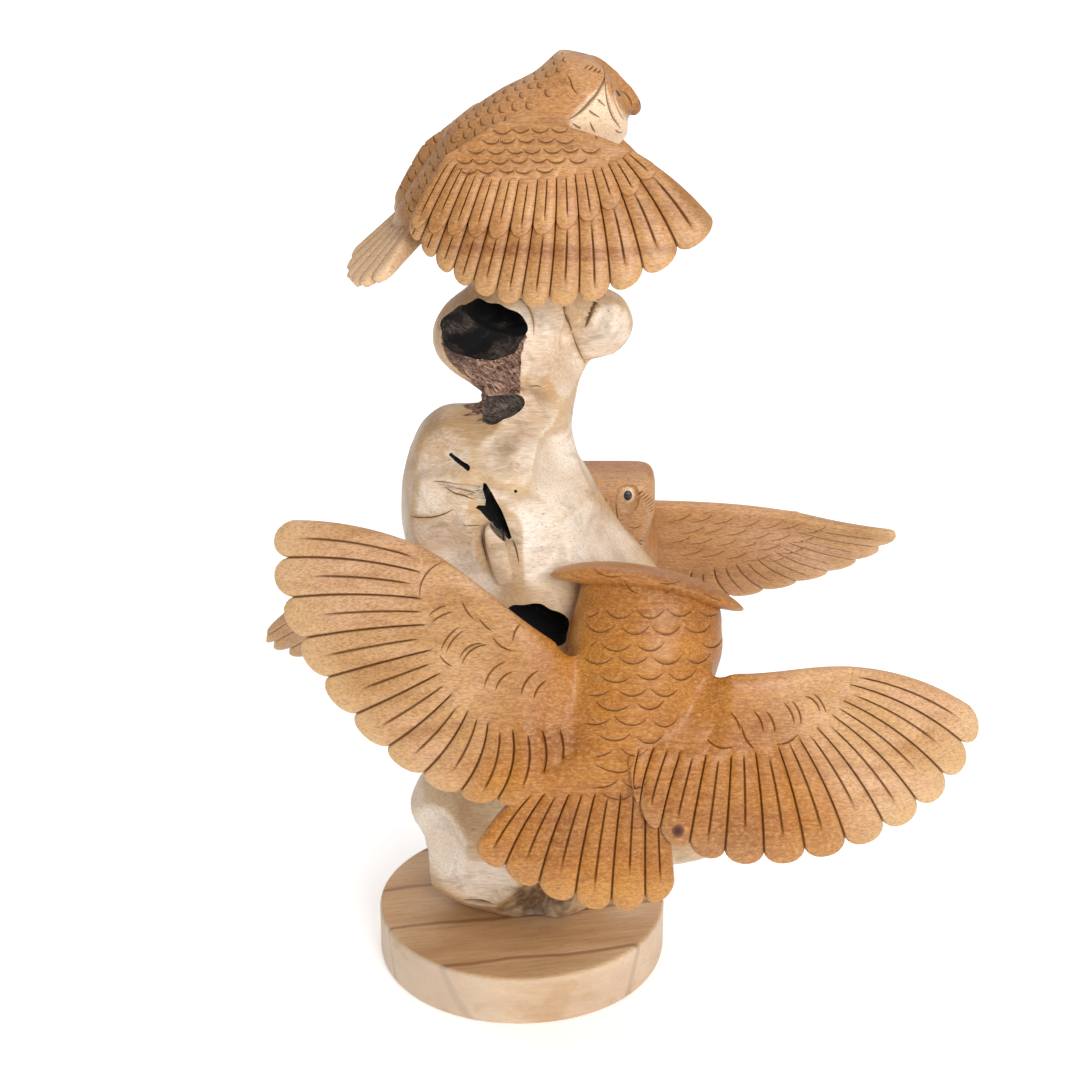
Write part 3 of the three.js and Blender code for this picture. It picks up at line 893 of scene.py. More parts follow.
front_strokes = [(over(front_stand), arc(*a), *STROKE) for a in FRONT_LEFT_ARCS + FRONT_RIGHT_ARCS]
front_strokes += [(over(front_stand), eased(line), *HAIRLINE) for line in NAPE_LINES]
front_strokes += body_scales(
    around(front_stand, 3, -24, 40),
    np.arange(24, 170, 33),
    np.arange(48, -46, -7.4),
    11.2,
    np.random.default_rng(4),
    lambda turn, along: (along < 6 and turn < 70) or (along < -4 and turn < 84) or (along < -20 and turn < 104),
)


def front_flow(x, y, z):
    """Where the front owl's seams are sanded: not under the brow, and not where the right wing lies over the tail."""
    x, y, _ = front_stand(x, y, z, back=True)
    return (1 - smooth(y, 30, 36)) * (1 - (x > -4) * smooth(-y, 26, 32))


front_owl = join(front_owl, "front_owl")
sand(front_owl, 15, 70, front_flow)
carve(front_owl, front_strokes)


def amber(piece, stand, most, low, high):
    """The heart of the log is amber: how far from an owl's middle it fades to the paler wood of the wings. It reaches
    further out below."""
    x, y, z = stand(*points_of(piece).T / MM, back=True)
    away = np.hypot(x, np.maximum(y - 20, 0)) + 0.6 * np.minimum(y, 0)
    note(piece, "amber", most * (1 - smooth(away, low, high)))


amber(front_owl, front_stand, 1.0, 42, 88)

# Back owl: the same kind of bird on the far side of the root. Its face and its left wing look past the root, and its
# facial disc, eye and beak are carved on the side that shows.
back_stand = stands((46, 78, 222), tilt=24, turn=180)
BACK_WING = FRONT_WING | {"dish": lambda x, y: -20 * (x / 150) ** 2}
BACK_LEFT_WING = BACK_WING | {
    "feathers": 11,
    "lead": ((3, 20), (-33, 19), (-69, 22), (-105, 19)),
    "roots": ((-105, 19), (-108, -17), (-34, -45), (-6, -30)),
    "tips": ((-157, 20), (-142, -28), (-27, -90), (2, -49)),
    "bow": (2, 3),
}
BACK_RIGHT_WING = BACK_WING | {
    "feathers": 11,
    "lead": ((14, 12), (62, 14), (105, -11), (142, -30)),
    "roots": ((142, -30), (140, -66), (64, -84), (12, -46)),
    "tips": ((185, -49), (212, -64), (108, -142), (26, -86)),
    "bow": (6, -1),
}
BACK_TAIL = FRONT_TAIL | {
    "lead": ((20, -26), (8, -22), (-6, -22), (-18, -26)),
    "roots": ((-24, -38), (-8, -44), (10, -44), (24, -38)),
    "tips": ((-40, -78), (-16, -100), (16, -100), (40, -78)),
    "bow": (-2, 2),
}
BACK_BODY = (
    (-54, 3, -16, 5, 4),
    (-42, 3, -18, 19, 13),
    (-20, 3, -22, 27, 22),
    (5, 3, -25, 31, 26),
    (26, 3, -25, 28, 25),
    (38, 3, -25, 26, 22),
    (48, 3, -25, 20, 17),
    (54, 3, -25, 5, 4),
)
back_head_stand = stands((45, 39, 250.5), tilt=0, turn=180)
BACK_HEAD = {"half": (25.5, 21.8, 18), "round": (0.26, 0.7, 0.26), "chin": 0.2}
EYE_AT = (10.5, 12.5, -17.6)
EYE_HALF = (2.2, 2.8, 1.4)
SOCKET_HALF = (6.2, 9.5, 2.0)
back_owl = [
    fan("back_left_wing", BACK_LEFT_WING, back_stand, rows=24),
    fan("back_right_wing", BACK_RIGHT_WING, back_stand, rows=16),
    fan("back_tail", BACK_TAIL, back_stand, rows=14),
    torso("back_body", BACK_BODY, back_stand),
    head("back_head", BACK_HEAD, back_head_stand),
]
back_owl = join(back_owl, "back_owl")
sand(back_owl, 10, 30, lambda x, y, z: 1.0 * (z < 300))
sockets = [
    knob("socket", (side * EYE_AT[0], EYE_AT[1] - 1, EYE_AT[2]), SOCKET_HALF, 0, back_head_stand) for side in (-1, 1)
]
boolean(back_owl, sockets, "DIFFERENCE")
beak = knob("back_beak", (0, 0, -17.5), (3.6, 13, 5.5), 8, back_head_stand)
lids = [
    knob("lid", (side * EYE_AT[0], EYE_AT[1], EYE_AT[2] + 2.4), (3.7, 4.4, 2.4), 0, back_head_stand) for side in (-1, 1)
]
eyes = [knob("eye", (side * EYE_AT[0], EYE_AT[1], EYE_AT[2] + 0.6), EYE_HALF, 0, back_head_stand) for side in (-1, 1)]
for eye in eyes:
    of_wood(eye, EYE)
note(beak, "dark_and_shaded", 0.3)
for lid in lids:
    note(lid, "pale", 1)
boolean(back_owl, [beak, *lids, *eyes], "UNION")


def face_rim(aim, centre, half, angles, length):
    """Short strokes that stand around the edge of a facial disc."""
    strokes = []
    for angle in np.radians(angles):
        way = np.array([math.cos(angle), math.sin(angle)])
        reach = half * np.linspace(1 - length, 1, 6)[:, None]
        strokes.append((aim, (np.array(centre) + way * reach).T, *HAIRLINE))
    return strokes


def wing_scales(aim, rows, size, start, end, rng):
    """Rows of scale strokes on a wing. A row is its height, its first place, its last and its step across."""
    strokes = []
    for height, first, last, step in rows:
        for place in np.arange(first, last, step):
            shift = rng.uniform(-0.8, 0.8)
            guide = arc(place + shift, height, size * rng.uniform(0.92, 1.04), start, end)
            strokes.append((aim, guide, *SCALE))
    return strokes


UNDER_ROWS = (
    (27, -104, -26, 12),
    (18, -99, -30, 12),
    (9, -94, -26, 12),
    (0, -88, -30, 12),
)
BACK_HAIRLINES = (
    (((-11.9, -10.9), (-15.7, -13.6), (-20.3, -11.2)), "chin"),
    (((-10.2, -4.2), (-14.5, -5.6), (-18.6, -3.4)), "below the eye"),
    (((-5.6, 14), (-4.4, 8), (-5.2, 1), (-7.4, -6)), "beside the beak"),
)
back_strokes = face_rim(over(back_head_stand, -1), (0, -1), np.array((28, 22.5)), np.arange(-228, 49, 5.2), 0.22)
for line, _ in BACK_HAIRLINES:
    for side in (-1, 1):
        mirrored = [(side * x, y) for x, y in line]
        back_strokes.append((over(back_head_stand, -1), eased(mirrored), *HAIRLINE))
back_strokes += wing_scales(over(back_stand, -1), UNDER_ROWS, 17, -90, -146, np.random.default_rng(7))
back_strokes += body_scales(
    around(back_stand, 3, -25, 34), np.arange(24, 170, 33), np.arange(24, -42, -7.4), 9.4, np.random.default_rng(8)
)
carve(back_owl, back_strokes)
amber(back_owl, back_stand, 0.5, 40, 130)
face_x, face_y, face_z = back_head_stand(*points_of(back_owl).T / MM, back=True)
on_head = (np.abs(face_x) < 27) * (np.abs(face_y) < 25) * (np.abs(face_z) < 22)
note(back_owl, "amber", np.maximum(values_of(back_owl, "amber"), 0.85 * on_head))
note(back_owl, "pale", np.maximum(values_of(back_owl, "pale"), 0.25 * on_head * smooth(-face_z, 6, 12)))

# Top owl: perched on the crown of the root with its head to the right. The near wing hangs open like a cape and the
# far wing is held further back.
top_stand = stands((-10, 0, 450), tilt=51, turn=-90)
top_tail_stand = stands((-50, -2, 414), tilt=50, turn=-70)
near_wing_stand = stands((19, -30, 454), tilt=20)
FAR_WING_TURN = 26
TOP_BODY = (
    (-64, 0, 2, 4, 3),
    (-50, 0, 1, 18, 9),
    (-30, 0, -4, 25, 20),
    (-8, 0, -6, 29, 28),
    (16, 0, -8, 28, 28),
    (36, 0, -10, 25, 26),
    (50, 0, -9, 24, 25.5),
    (57, 0, -9, 20.5, 19),
    (61.5, 0, -8, 14, 12),
    (63.2, 0, -8, 3, 3),
)
TOP_BEAK = (
    (-3, 0, 57, 1.5, 2.5),
    (3, 0, 57, 2.6, 7.6),
    (10, 0, 57.5, 3.8, 8.4),
    (17, 0, 58.5, 4.8, 8.2),
    (22, 0, 59.6, 4.6, 6.6),
    (26, 0, 61, 3.4, 4.4),
    (29, 0, 60.9, 2, 2.8),
    (30.4, 0, 60.5, 0.4, 0.6),
)  # down the face: place, 0, how far the middle is out of the face, half width and half depth
TOP_TAIL = {
    "feathers": 6,
    "lead": ((10, 26), (3, 27), (-3, 27), (-10, 26)),
    "roots": ((-14, 2), (-5, -2), (5, -2), (14, 0)),
    "tips": ((-24, -28), (-14, -46), (14, -48), (25, -28)),
    "bow": (0, 0),
    "parting": 0.1,
    "notch": 0.12,
    "ridge": 1.1,
    "thick": (14, 9, 4),
    "dish": lambda x, y: 0 * x,
}
TOP_WING = {
    "feathers": 12,
    "lead": ((-27, 14), (-6, 15), (15, 9), (34, 0)),
    "roots": ((34, 0), (16, -14), (-37, -22), (-52, -1)),
    "tips": ((74, -34), (2, -98), (-52, -68), (-71, -34)),
    "bow": (2.5, -1),
    "notch": 0.1,
    "ridge": 1.1,
    "thick": (9, 7, 3.5),
    "dish": lambda x, y: np.where(x < 0, -10, -5) * (x / 70) ** 2,
    "tier": ((0, 0.3, 0.55, 0.75, 0.9, 1), (0.27, 0.38, 0.46, 0.58, 0.8, 0.97)),
}


def far_wing_stand(x, y, z):
    """The near wing's place mirrored to the far side and swung back."""
    x, y, z = near_wing_stand(x, y, z)
    x, y = turned(x, -y, FAR_WING_TURN)
    return x, y, z


top_owl = [
    fan("top_near_wing", TOP_WING, near_wing_stand, rows=32),
    fan("top_far_wing", TOP_WING, far_wing_stand, rows=18),
    fan("top_tail", TOP_TAIL, top_tail_stand, rows=18),
    torso("top_body", TOP_BODY, top_stand),
    knob("top_face", (0, 52, -14), (17, 10, 15), -6, top_stand),
    knob("top_keel", (0, 58.5, -10), (5, 7, 16), -4, top_stand),
    torso("top_beak", TOP_BEAK, lambda x, y, z: top_stand(x, z, -y), around=32, rings=30),
]
top_owl = join(top_owl, "top_owl")


def top_flow(x, y, z):
    """Where the top owl's seams are sanded: over the whole back, but not along the wings' leads by the head."""
    return 1 - smooth(x, 0, 12) * (np.abs(y) > 18)


sand(top_owl, 9, 30, top_flow)
TOP_HEAD_LINES = (
    (((63, 0.5), (61.2, -4.4), (57.4, -5.7), (53.3, -6.8), (48.7, -7.3), (45.7, -7.8), (40.2, -7.9), (35.9, -7.2)), 2.6, 1.4),
    (((61.6, -3.6), (58.4, -7.9), (56.1, -11.8), (54.2, -16.1), (52.8, -20.6), (52.4, -23.9), (51.6, -28)), 2, 1.2),
    (((63.4, -4.5), (61.4, -8.5), (59, -13), (57.2, -17.5), (56, -22), (55.2, -26.5)), 1.8, 1),
    (((52.8, -8.3), (53, -10.5), (53.5, -13.9)), 1.5, 0.9),
    (((46.5, -9.5), (47, -12.4), (48.4, -16.2)), 1.5, 0.9),
    (((36.9, -9.2), (37.9, -13.2), (40.1, -16.6)), 1.5, 0.9),
    (((43.6, -14.4), (42.5, -18.1), (42.1, -22.0)), 1.4, 0.9),
    (((49.9, -25.5), (50, -28.5), (51.4, -30)), 1.3, 0.8),
    (((48.4, 8.6), (47.8, 5.3), (46.8, 2.3), (47, -1.7)), 1.3, 0.8),
    (((55.7, 4.9), (57, 4.7), (58.4, 4.4)), 1.3, 0.8),
    (((57, 3.1), (58.4, 2.9), (59.7, 2.8)), 1.3, 0.8),
    (((58.2, 1.2), (59.4, 1.0), (60.4, 0.9)), 1.3, 0.8),
    (((59.3, -0.6), (60.3, -0.7), (61.2, -0.8)), 1.3, 0.8),
    (((61.6, -14.5), (62.6, -18), (62.4, -22), (60.6, -25.5)), 1.3, 0.8),
)  # the side of the head: edge of the cheek, two lines of the facial disc, throat, neck and brow strokes, then the gape


def aside(stand, side):
    """Aims guide points at an owl's flank: the place up its back and the height out of it."""

    def aim(up, out):
        far = np.full(len(up), AIM_FROM * side)
        return np.column_stack(stand(far, up, out)), np.column_stack(stand(-far, up, out)), 0, AIM_FROM

    return aim


top_strokes = [
    (aside(top_stand, side), eased(line), width, depth) for side in (1, -1) for line, width, depth in TOP_HEAD_LINES
]
top_strokes += body_scales(
    around(top_stand, 0, -6, 31),
    np.arange(-20, 204, 16),
    np.arange(55, -48, -5.3),
    5.0,
    np.random.default_rng(11),
    lambda turn, along: along > 20 and (turn > 150 or turn < 30) or along > 40 and turn < 46,
)
COVERT_SCALES = (
    (13, -26, 4, 8.6),
    (8.5, -32, 10, 8.6),
    (4, -38, 14, 8.6),
    (-0.5, -44, 10, 8.6),
    (-5, -42, 0, 8.6),
)
for stand, seed in ((near_wing_stand, 12), (far_wing_stand, 13)):
    top_strokes += wing_scales(over(stand), COVERT_SCALES, 5.2, -152, -30, np.random.default_rng(seed))
carve(top_owl, top_strokes)
eyes = [knob("eye", (side * 13.8, 60.2, -12.6), (1.0, 1.0, 3.2), 10, top_stand, around=16, rings=12) for side in (-1, 1)]
for eye in eyes:
    of_wood(eye, EYE)
boolean(top_owl, eyes, "UNION")
amber(top_owl, top_stand, 0.6, 60, 170)
THROAT = np.array([(33, -6), (38.5, -7.9), (45.7, -7.9), (53.3, -6.8), (57.4, -5.7), (61.2, -4.4)])
flank, up, out = top_stand(*points_of(top_owl).T / MM, back=True)
# The throat below the cheek's edge and the top of the back are painted paler: a painted highlight where the light
# catches them. The tail is paler wood.
below = smooth(np.interp(up, *THROAT.T) - out, 0, 1.5) * smooth(up, 30, 34) * (1 - smooth(up, 55, 59))
crown = 0.35 * smooth(out, 12, 18) * smooth(up, 20, 50)
pale = np.maximum(below, crown) * (np.abs(flank) < 25)
note(top_owl, "pale", np.maximum(pale, 0.5 * smooth(-up, 52, 62)))
note(top_owl, "dark_and_shaded", np.maximum(values_of(top_owl, "dark_and_shaded"), 0.4 * (up > 56) * smooth(-out, 21, 27)))

# The carving: root and owls are one piece of wood. They are joined here, and the rotted hollows and clefts that the
# carver left in the wood are cut out of it.
HOLLOWS = (
    ((-13, -20, 369), (17, 34, 10), (6, 3, -8), 1.0, 0.13),  # cave under the top owl
    ((-18, -18, 364), (22, 12.5, 14), (0, 0, -25), 0.82, 0.14),  # the cave's shallow left side
    ((-12, -12, 322.5), (14, 9, 6.6), (0, -14, 0), 0.45, 0.25),  # pocket behind the shoulders
    ((7.5, -44, 218), (18, 30, 12.3), (0, 12, 0), 1.0, 0.14),  # hole over the front owl's wing
    ((-1.9, -37, 288.4), (0.9, 3, 0.9), (0, 0, 0), 1.0, 0.1),  # worm hole
)  # middle, half sizes, turns about x, y and z, how black the walls are painted (rot, and painted shade in the deep ones), and how ragged the hollow is
CLEFT = (
    (-18.4, 296.1),
    (-16.6, 295.4),
    (-12.6, 288.0),
    (-8.0, 278.0),
    (-4.6, 268.0),
    (-1.6, 258.7),
    (-3.4, 257.5),
    (-6.4, 259.6),
    (-11.4, 264.5),
    (-16.0, 270.1),
    (-20.2, 276.6),
    (-23.4, 279.6),
    (-22.0, 281.2),
    (-17.6, 281.0),
    (-17.2, 285.0),
    (-19.0, 291.7),
)
SLOT = (
    (-36.8, 304.6),
    (-35.4, 304.9),
    (-33, 303.4),
    (-28.5, 301.6),
    (-24.4, 300.4),
    (-22.7, 299.2),
    (-22.9, 297.2),
    (-24.3, 296.6),
    (-27.4, 298.6),
    (-32.6, 300.4),
    (-36.2, 302.6),
)  # outlines of the two open cracks on the front of the left shoulder, by x and height
CRACK_FROM = -70
CRACK_TO = -23
CRACK_NARROWS = 0.75


MOST_TRIANGLES = 194000


def hollow_cutter(centre, half, turn, black_rot_and_shade, ragged):
    """A hollow's own ball with rough walls, turned about x, y and z in that order."""

    def shape(x, y, z):
        rough = 1 + ragged * mottle(x * half[0], y * half[1], z * half[2], 7, centre[2])
        x, y, z = x * half[0] * rough, y * half[1] * rough, z * half[2] * rough
        x, y = turned(x, y, turn[2])
        z, x = turned(z, x, turn[1])
        y, z = turned(y, z, turn[0])
        return x + centre[0], y + centre[1], z + centre[2]

    cutter = faces_out(reshape(ball("hollow", 64, 40), shape))
    note(cutter, "black_rot_and_shade", black_rot_and_shade)
    note(cutter, "own", 1)
    return of_wood(cutter, ROTTED)


def crack_cutter(outline):
    """A drying crack's own prism, cut straight into the front of the root and a little narrower at its end."""
    bpy.ops.mesh.primitive_cylinder_add(vertices=len(outline), radius=1, depth=2)
    points = np.array(outline)
    middle = points.mean(axis=0)

    def shape(x, y, z):
        k = np.rint(np.arctan2(x, y) / (2 * math.pi) * len(points)).astype(int) % len(points)
        at = np.where(z[:, None] > 0, points[k], middle + (points[k] - middle) * CRACK_NARROWS)
        return at[:, 0], np.where(z > 0, CRACK_FROM, CRACK_TO), at[:, 1]

    cutter = faces_out(reshape(bpy.context.object, shape))
    # The crack's walls are painted black: painted shade down its narrow depth.
    note(cutter, "black_rot_and_shade", 1)
    note(cutter, "own", 1)
    return of_wood(cutter, ROTTED)


def finger_shape(x, y, z):
    """The smooth finger of wood that lies on the shoulder below the cleft."""
    x, y, z = (np.sign(v) * np.abs(v) ** FINGER_BLUNT for v in (x, y, z))
    x, z = turned(x * FINGER_HALF[0], z * FINGER_HALF[2], FINGER_LEAN)
    return x + FINGER_AT[0], y * FINGER_HALF[1] + FINGER_AT[1], z + FINGER_AT[2]


FINGER_AT = (-10.4, -35.0, 254.5)
FINGER_HALF = (5.2, 4.4, 16.5)
FINGER_BLUNT = 0.6
FINGER_LEAN = 12
finger = of_wood(faces_out(reshape(ball("finger", 48, 40), finger_shape)), SAPWOOD)
note(finger, "pale", 0.3)
note(finger, "own", 1)
carving = root
boolean(carving, [finger, front_owl, back_owl, top_owl], "UNION")
boolean(carving, [hollow_cutter(*hollow) for hollow in HOLLOWS], "DIFFERENCE")
boolean(carving, [crack_cutter(outline) for outline in (CLEFT, SLOT)], "DIFFERENCE")
for name in ("bark", "grey", "black_rot_and_shade", "amber", "pale"):
    heal(carving, name)
ROOT_LINES = (
    (((-5.3, 384), (0.5, 381.8), (4.5, 377.2), (6.8, 370.5), (7, 362)), 1.6, 0.5),
    (((20.5, 385), (21.5, 378), (23.2, 370), (25.4, 362)), 2.2, 1.3),
    (((41, 384), (38, 378), (34.5, 372), (31.7, 365)), 2.6, 1.6),
    (((25.6, 362), (27, 356), (29.5, 349), (33, 341)), 1.3, 0.7),
    (((0.5, 337.5), (4, 337.2), (8.5, 337.5), (11.5, 336.4)), 1.4, 1.0),
    (((-55.2, 270.3), (-50.4, 270.8), (-44.1, 271.8), (-37.2, 274.7), (-31.9, 278.4)), 1.3, 0.8),
    (((-43.6, 290.7), (-38, 291.3), (-32, 291.2), (-26, 290.7), (-20, 290)), 1.1, 0.8),
    (((-38, 289.4), (-32.4, 286), (-26.2, 285.3), (-20.5, 283.1)), 1.1, 0.8),
    (((-33, 288.4), (-27, 288), (-20, 286.6)), 1.0, 0.6),
    (((-3.8, 261.6), (-2.6, 258.6), (-1.6, 255.4), (-0.4, 250.6)), 1.8, 1.3),
    (((-19, 266), (-18, 258), (-16, 249), (-13.6, 241)), 1.3, 0.7),
    (((-28, 270), (-22, 269.6), (-18.5, 268.6)), 1.1, 0.7),
    (((-49.6, 320), (-51, 314), (-51.6, 308), (-51.8, 303)), 1.3, 0.8),
    (((-32, 46), (-26, 45), (-20, 44.6), (-13, 42.5)), 5.0, 3.2),
)  # drying cracks and creases on the front of the root, by x and height


def from_front(x, z):
    """Aims guide points at the root from straight in front of it."""
    start = np.column_stack([x, np.full(len(x), -AIM_FROM), z])
    return start, start + (0, 2 * AIM_FROM, 0), 0, AIM_FROM + 20


carve(carving, [(from_front, eased(line), width, depth) for line, width, depth in ROOT_LINES])
carving.name = "owl_wood_carving"
moved = points_of(carving)
moved[:, 1] -= STANDS_FORWARD * MM
carving.data.vertices.foreach_set("co", moved.ravel())
carving.data.update()
count = sum(len(face.vertices) - 2 for face in carving.data.polygons)
if count > MOST_TRIANGLES:
    apply_modifier(carving, "DECIMATE", ratio=MOST_TRIANGLES / count)
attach(carving, "root")
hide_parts("owl_carving")
bpy.context.view_layer.objects.active = carving
carving.select_set(True)
bpy.ops.object.shade_smooth_by_angle(angle=math.radians(38))
carving.select_set(False)



def stretched(material, coords, along, across):
    """Object coordinates in units of the grain, which runs across the owls: its length and its width in millimetres."""
    size = (1 / (along * MM), 1 / (across * MM), 1 / (across * MM))
    return add_node(material, "ShaderNodeVectorMath", {0: coords, 1: size}, operation="MULTIPLY").outputs[0]


def ramp(material, value, *stops):
    """A colour ramp from stops of a place and a hex colour."""
    node = add_node(material, "ShaderNodeValToRGB", {"Fac": value})
    while len(node.color_ramp.elements) < len(stops):
        node.color_ramp.elements.new(0.5)
    for element, (place, colour) in zip(node.color_ramp.elements, stops):
        element.position, element.color = place, linear(colour)
    return node.outputs["Color"]


def span(material, value, low, high, to_low=0.0, to_high=1.0):
    """A value mapped from one span to another, clamped."""
    inputs = {"Value": value, "From Min": low, "From Max": high, "To Min": to_low, "To Max": to_high}
    return add_node(material, "ShaderNodeMapRange", inputs).outputs[0]


def blend(material, share, under, over_it, kind="MIX"):
    """One colour laid over another."""
    inputs = {"Factor": share, "A": under, "B": over_it}
    return add_node(material, "ShaderNodeMix", inputs, data_type="RGBA", blend_type=kind).outputs["Result"]


def product(material, a, b):
    return add_node(material, "ShaderNodeMath", {0: a, 1: b}, operation="MULTIPLY").outputs[0]


def patches(material, where, detail=3.0, rough=0.55, warp=0.0):
    inputs = {"Vector": where, "Scale": 1.0, "Detail": detail, "Roughness": rough, "Distortion": warp}
    return add_node(material, "ShaderNodeTexNoise", inputs).outputs["Fac"]


# Heartwood: a pale tropical hardwood's golden brown heart, sanded and rubbed with oil. Its grain runs across the owls
# in soft reddish bands with short dark pores, and the oil gives it a satin sheen. V cuts are darker, partly for the oil
# they hold and partly as painted shade; the top owl's throat and back carry a painted highlight.
GRAIN_BAND = (90, 8)
GRAIN_STREAK = (38, 1.5)
GRAIN_FIBRE = (7, 0.55)
PORE = (3.2, 0.55)
TONE = (62, 34)
CHATTER = (2.2, 2.2)
FLECK = (2.0, 0.8)
GROWTH_BAND = (411.5, 3.6)  # the height and half width of a reddish growth band that crosses the top owl's wings
KNOT_AT = (76.6, -117.1, 141.3)
KNOT_RADIUS = 3.2
heartwood, shader = new_material("oiled heartwood")
coords = add_node(heartwood, "ShaderNodeTexCoord").outputs["Object"]
cut, length, heart, pale = (
    add_node(heartwood, "ShaderNodeAttribute", attribute_name=name).outputs["Fac"]
    for name in ("dark_and_shaded", "length", "amber", "pale")
)
tone = patches(heartwood, stretched(heartwood, coords, *TONE), 2.0, 0.5)
band = patches(heartwood, stretched(heartwood, coords, *GRAIN_BAND), 3.0, 0.6, 0.4)
streak = patches(heartwood, stretched(heartwood, coords, *GRAIN_STREAK), 3.0, 0.6)
fibre = patches(heartwood, stretched(heartwood, coords, *GRAIN_FIBRE), 2.0, 0.5)
chatter = patches(heartwood, stretched(heartwood, coords, *CHATTER), 2.0, 0.5)
pore = span(heartwood, patches(heartwood, stretched(heartwood, coords, *PORE), 1.0, 0.5), 0.64, 0.74)
fleck = patches(heartwood, stretched(heartwood, coords, *FLECK), 1.0, 0.5)
wings = ramp(heartwood, tone, (0.3, "B1865A"), (0.44, "C2986E"), (0.57, "CEA484"), (0.72, "D8B28E"))
core = ramp(heartwood, tone, (0.3, "7E3E07"), (0.44, "924F08"), (0.57, "A25E0C"), (0.72, "B07018"))
colour = blend(heartwood, heart, wings, core)
colour = blend(heartwood, span(heartwood, band, 0.5, 0.76, 0, 0.6), colour, "84481F")
colour = blend(heartwood, span(heartwood, streak, 0.35, 0.7, 0, 0.36), colour, "CE9548")
height = add_node(heartwood, "ShaderNodeSeparateXYZ", {"Vector": coords}).outputs["Z"]
wander = span(heartwood, band, 0.3, 0.7, -GROWTH_BAND[0] * MM - 0.003, -GROWTH_BAND[0] * MM + 0.003)
height = add_node(heartwood, "ShaderNodeMath", {0: height, 1: wander}, operation="ADD").outputs[0]
height = add_node(heartwood, "ShaderNodeMath", {0: height}, operation="ABSOLUTE").outputs[0]
growth = span(heartwood, height, GROWTH_BAND[1] * MM * 0.2, GROWTH_BAND[1] * MM, 0.62, 0)
colour = blend(heartwood, growth, colour, "7A3A16")
colour = blend(heartwood, span(heartwood, fibre, 0.4, 0.68, 0, 0.42), colour, "7A4A20")
colour = blend(heartwood, span(heartwood, chatter, 0.45, 0.72, 0, 0.16), colour, "E0AF6A")
tips = product(heartwood, span(heartwood, length, 0.7, 1.0, 0, 0.5), span(heartwood, heart, 0, 1, 1, 0.4))
colour = blend(heartwood, tips, colour, "D6B484")
# The pale note: paler wood on the back owl's lids and face and the top owl's tail, and a painted highlight on the top
# owl's throat and back.
colour = blend(heartwood, product(heartwood, pale, 0.85), colour, "E9CFAE")
colour = blend(heartwood, span(heartwood, fleck, 0.5, 0.72, 0, 0.18), colour, "E6BC7C")
colour = blend(heartwood, span(heartwood, fleck, 0.5, 0.3, 0, 0.3), colour, "7C4A22")
colour = blend(heartwood, product(heartwood, pore, 0.45), colour, "54351D")
offset = add_node(heartwood, "ShaderNodeVectorMath", {0: coords, 1: [c * MM for c in KNOT_AT]}, operation="SUBTRACT")
from_knot = add_node(heartwood, "ShaderNodeVectorMath", {0: offset.outputs[0]}, operation="LENGTH").outputs["Value"]
knot = span(heartwood, from_knot, KNOT_RADIUS * MM * 1.1, KNOT_RADIUS * MM * 0.8)
colour = blend(heartwood, knot, colour, "6A2F10")
knot = span(heartwood, from_knot, KNOT_RADIUS * MM * 0.75, KNOT_RADIUS * MM * 0.3)
colour = blend(heartwood, knot, colour, "2E1408")
# V cuts are darkened: partly oil in them, partly painted shade.
colour = blend(heartwood, span(heartwood, cut, 0.08, 0.9, 0, 0.8), colour, "5E3A1E")
heartwood.node_tree.links.new(colour, shader.inputs["Base Color"])
heartwood.node_tree.links.new(span(heartwood, tone, 0.3, 0.7, 0.5, 0.36), shader.inputs["Roughness"])
shader.inputs["Specular IOR Level"].default_value = 0.3
shader.inputs["Coat Weight"].default_value = 0.12
shader.inputs["Coat Roughness"].default_value = 0.3
bump = add_node(heartwood, "ShaderNodeBump", {"Height": fibre, "Strength": 0.16, "Distance": 1.0 * MM})
heartwood.node_tree.links.new(bump.outputs["Normal"], shader.inputs["Normal"])

# Sapwood: the root's own pale wood, scraped, sanded and oiled, with tan bands, grey stains and fine tool marks.
# Its adze flats carry a painted highlight, and its V cuts and some patches are darkened by dirt and painted shade.
sapwood, shader = new_material("scraped sapwood")
coords = add_node(sapwood, "ShaderNodeTexCoord").outputs["Object"]
cut, rotten, weather, black, pale, tan = (
    add_node(sapwood, "ShaderNodeAttribute", attribute_name=name).outputs["Fac"]
    for name in ("dark_and_shaded", "bark", "grey", "black_rot_and_shade", "pale", "tan")
)
tone = patches(sapwood, stretched(sapwood, coords, 46, 34), 3.0, 0.5)
band = patches(sapwood, stretched(sapwood, coords, 52, 17), 3.0, 0.6, 0.8)
stain = patches(sapwood, stretched(sapwood, coords, 24, 17), 4.0, 0.65, 0.6)
fibre = patches(sapwood, stretched(sapwood, coords, 8, 0.7), 2.0, 0.5)
marks = patches(sapwood, stretched(sapwood, coords, 5, 1.6), 3.0, 0.6)
speck = span(sapwood, patches(sapwood, stretched(sapwood, coords, 2.2, 1.2), 1.0, 0.5), 0.72, 0.78)
colour = ramp(sapwood, tone, (0.3, "AE8860"), (0.42, "C3A178"), (0.54, "CEB08A"), (0.68, "DDC4AB"))
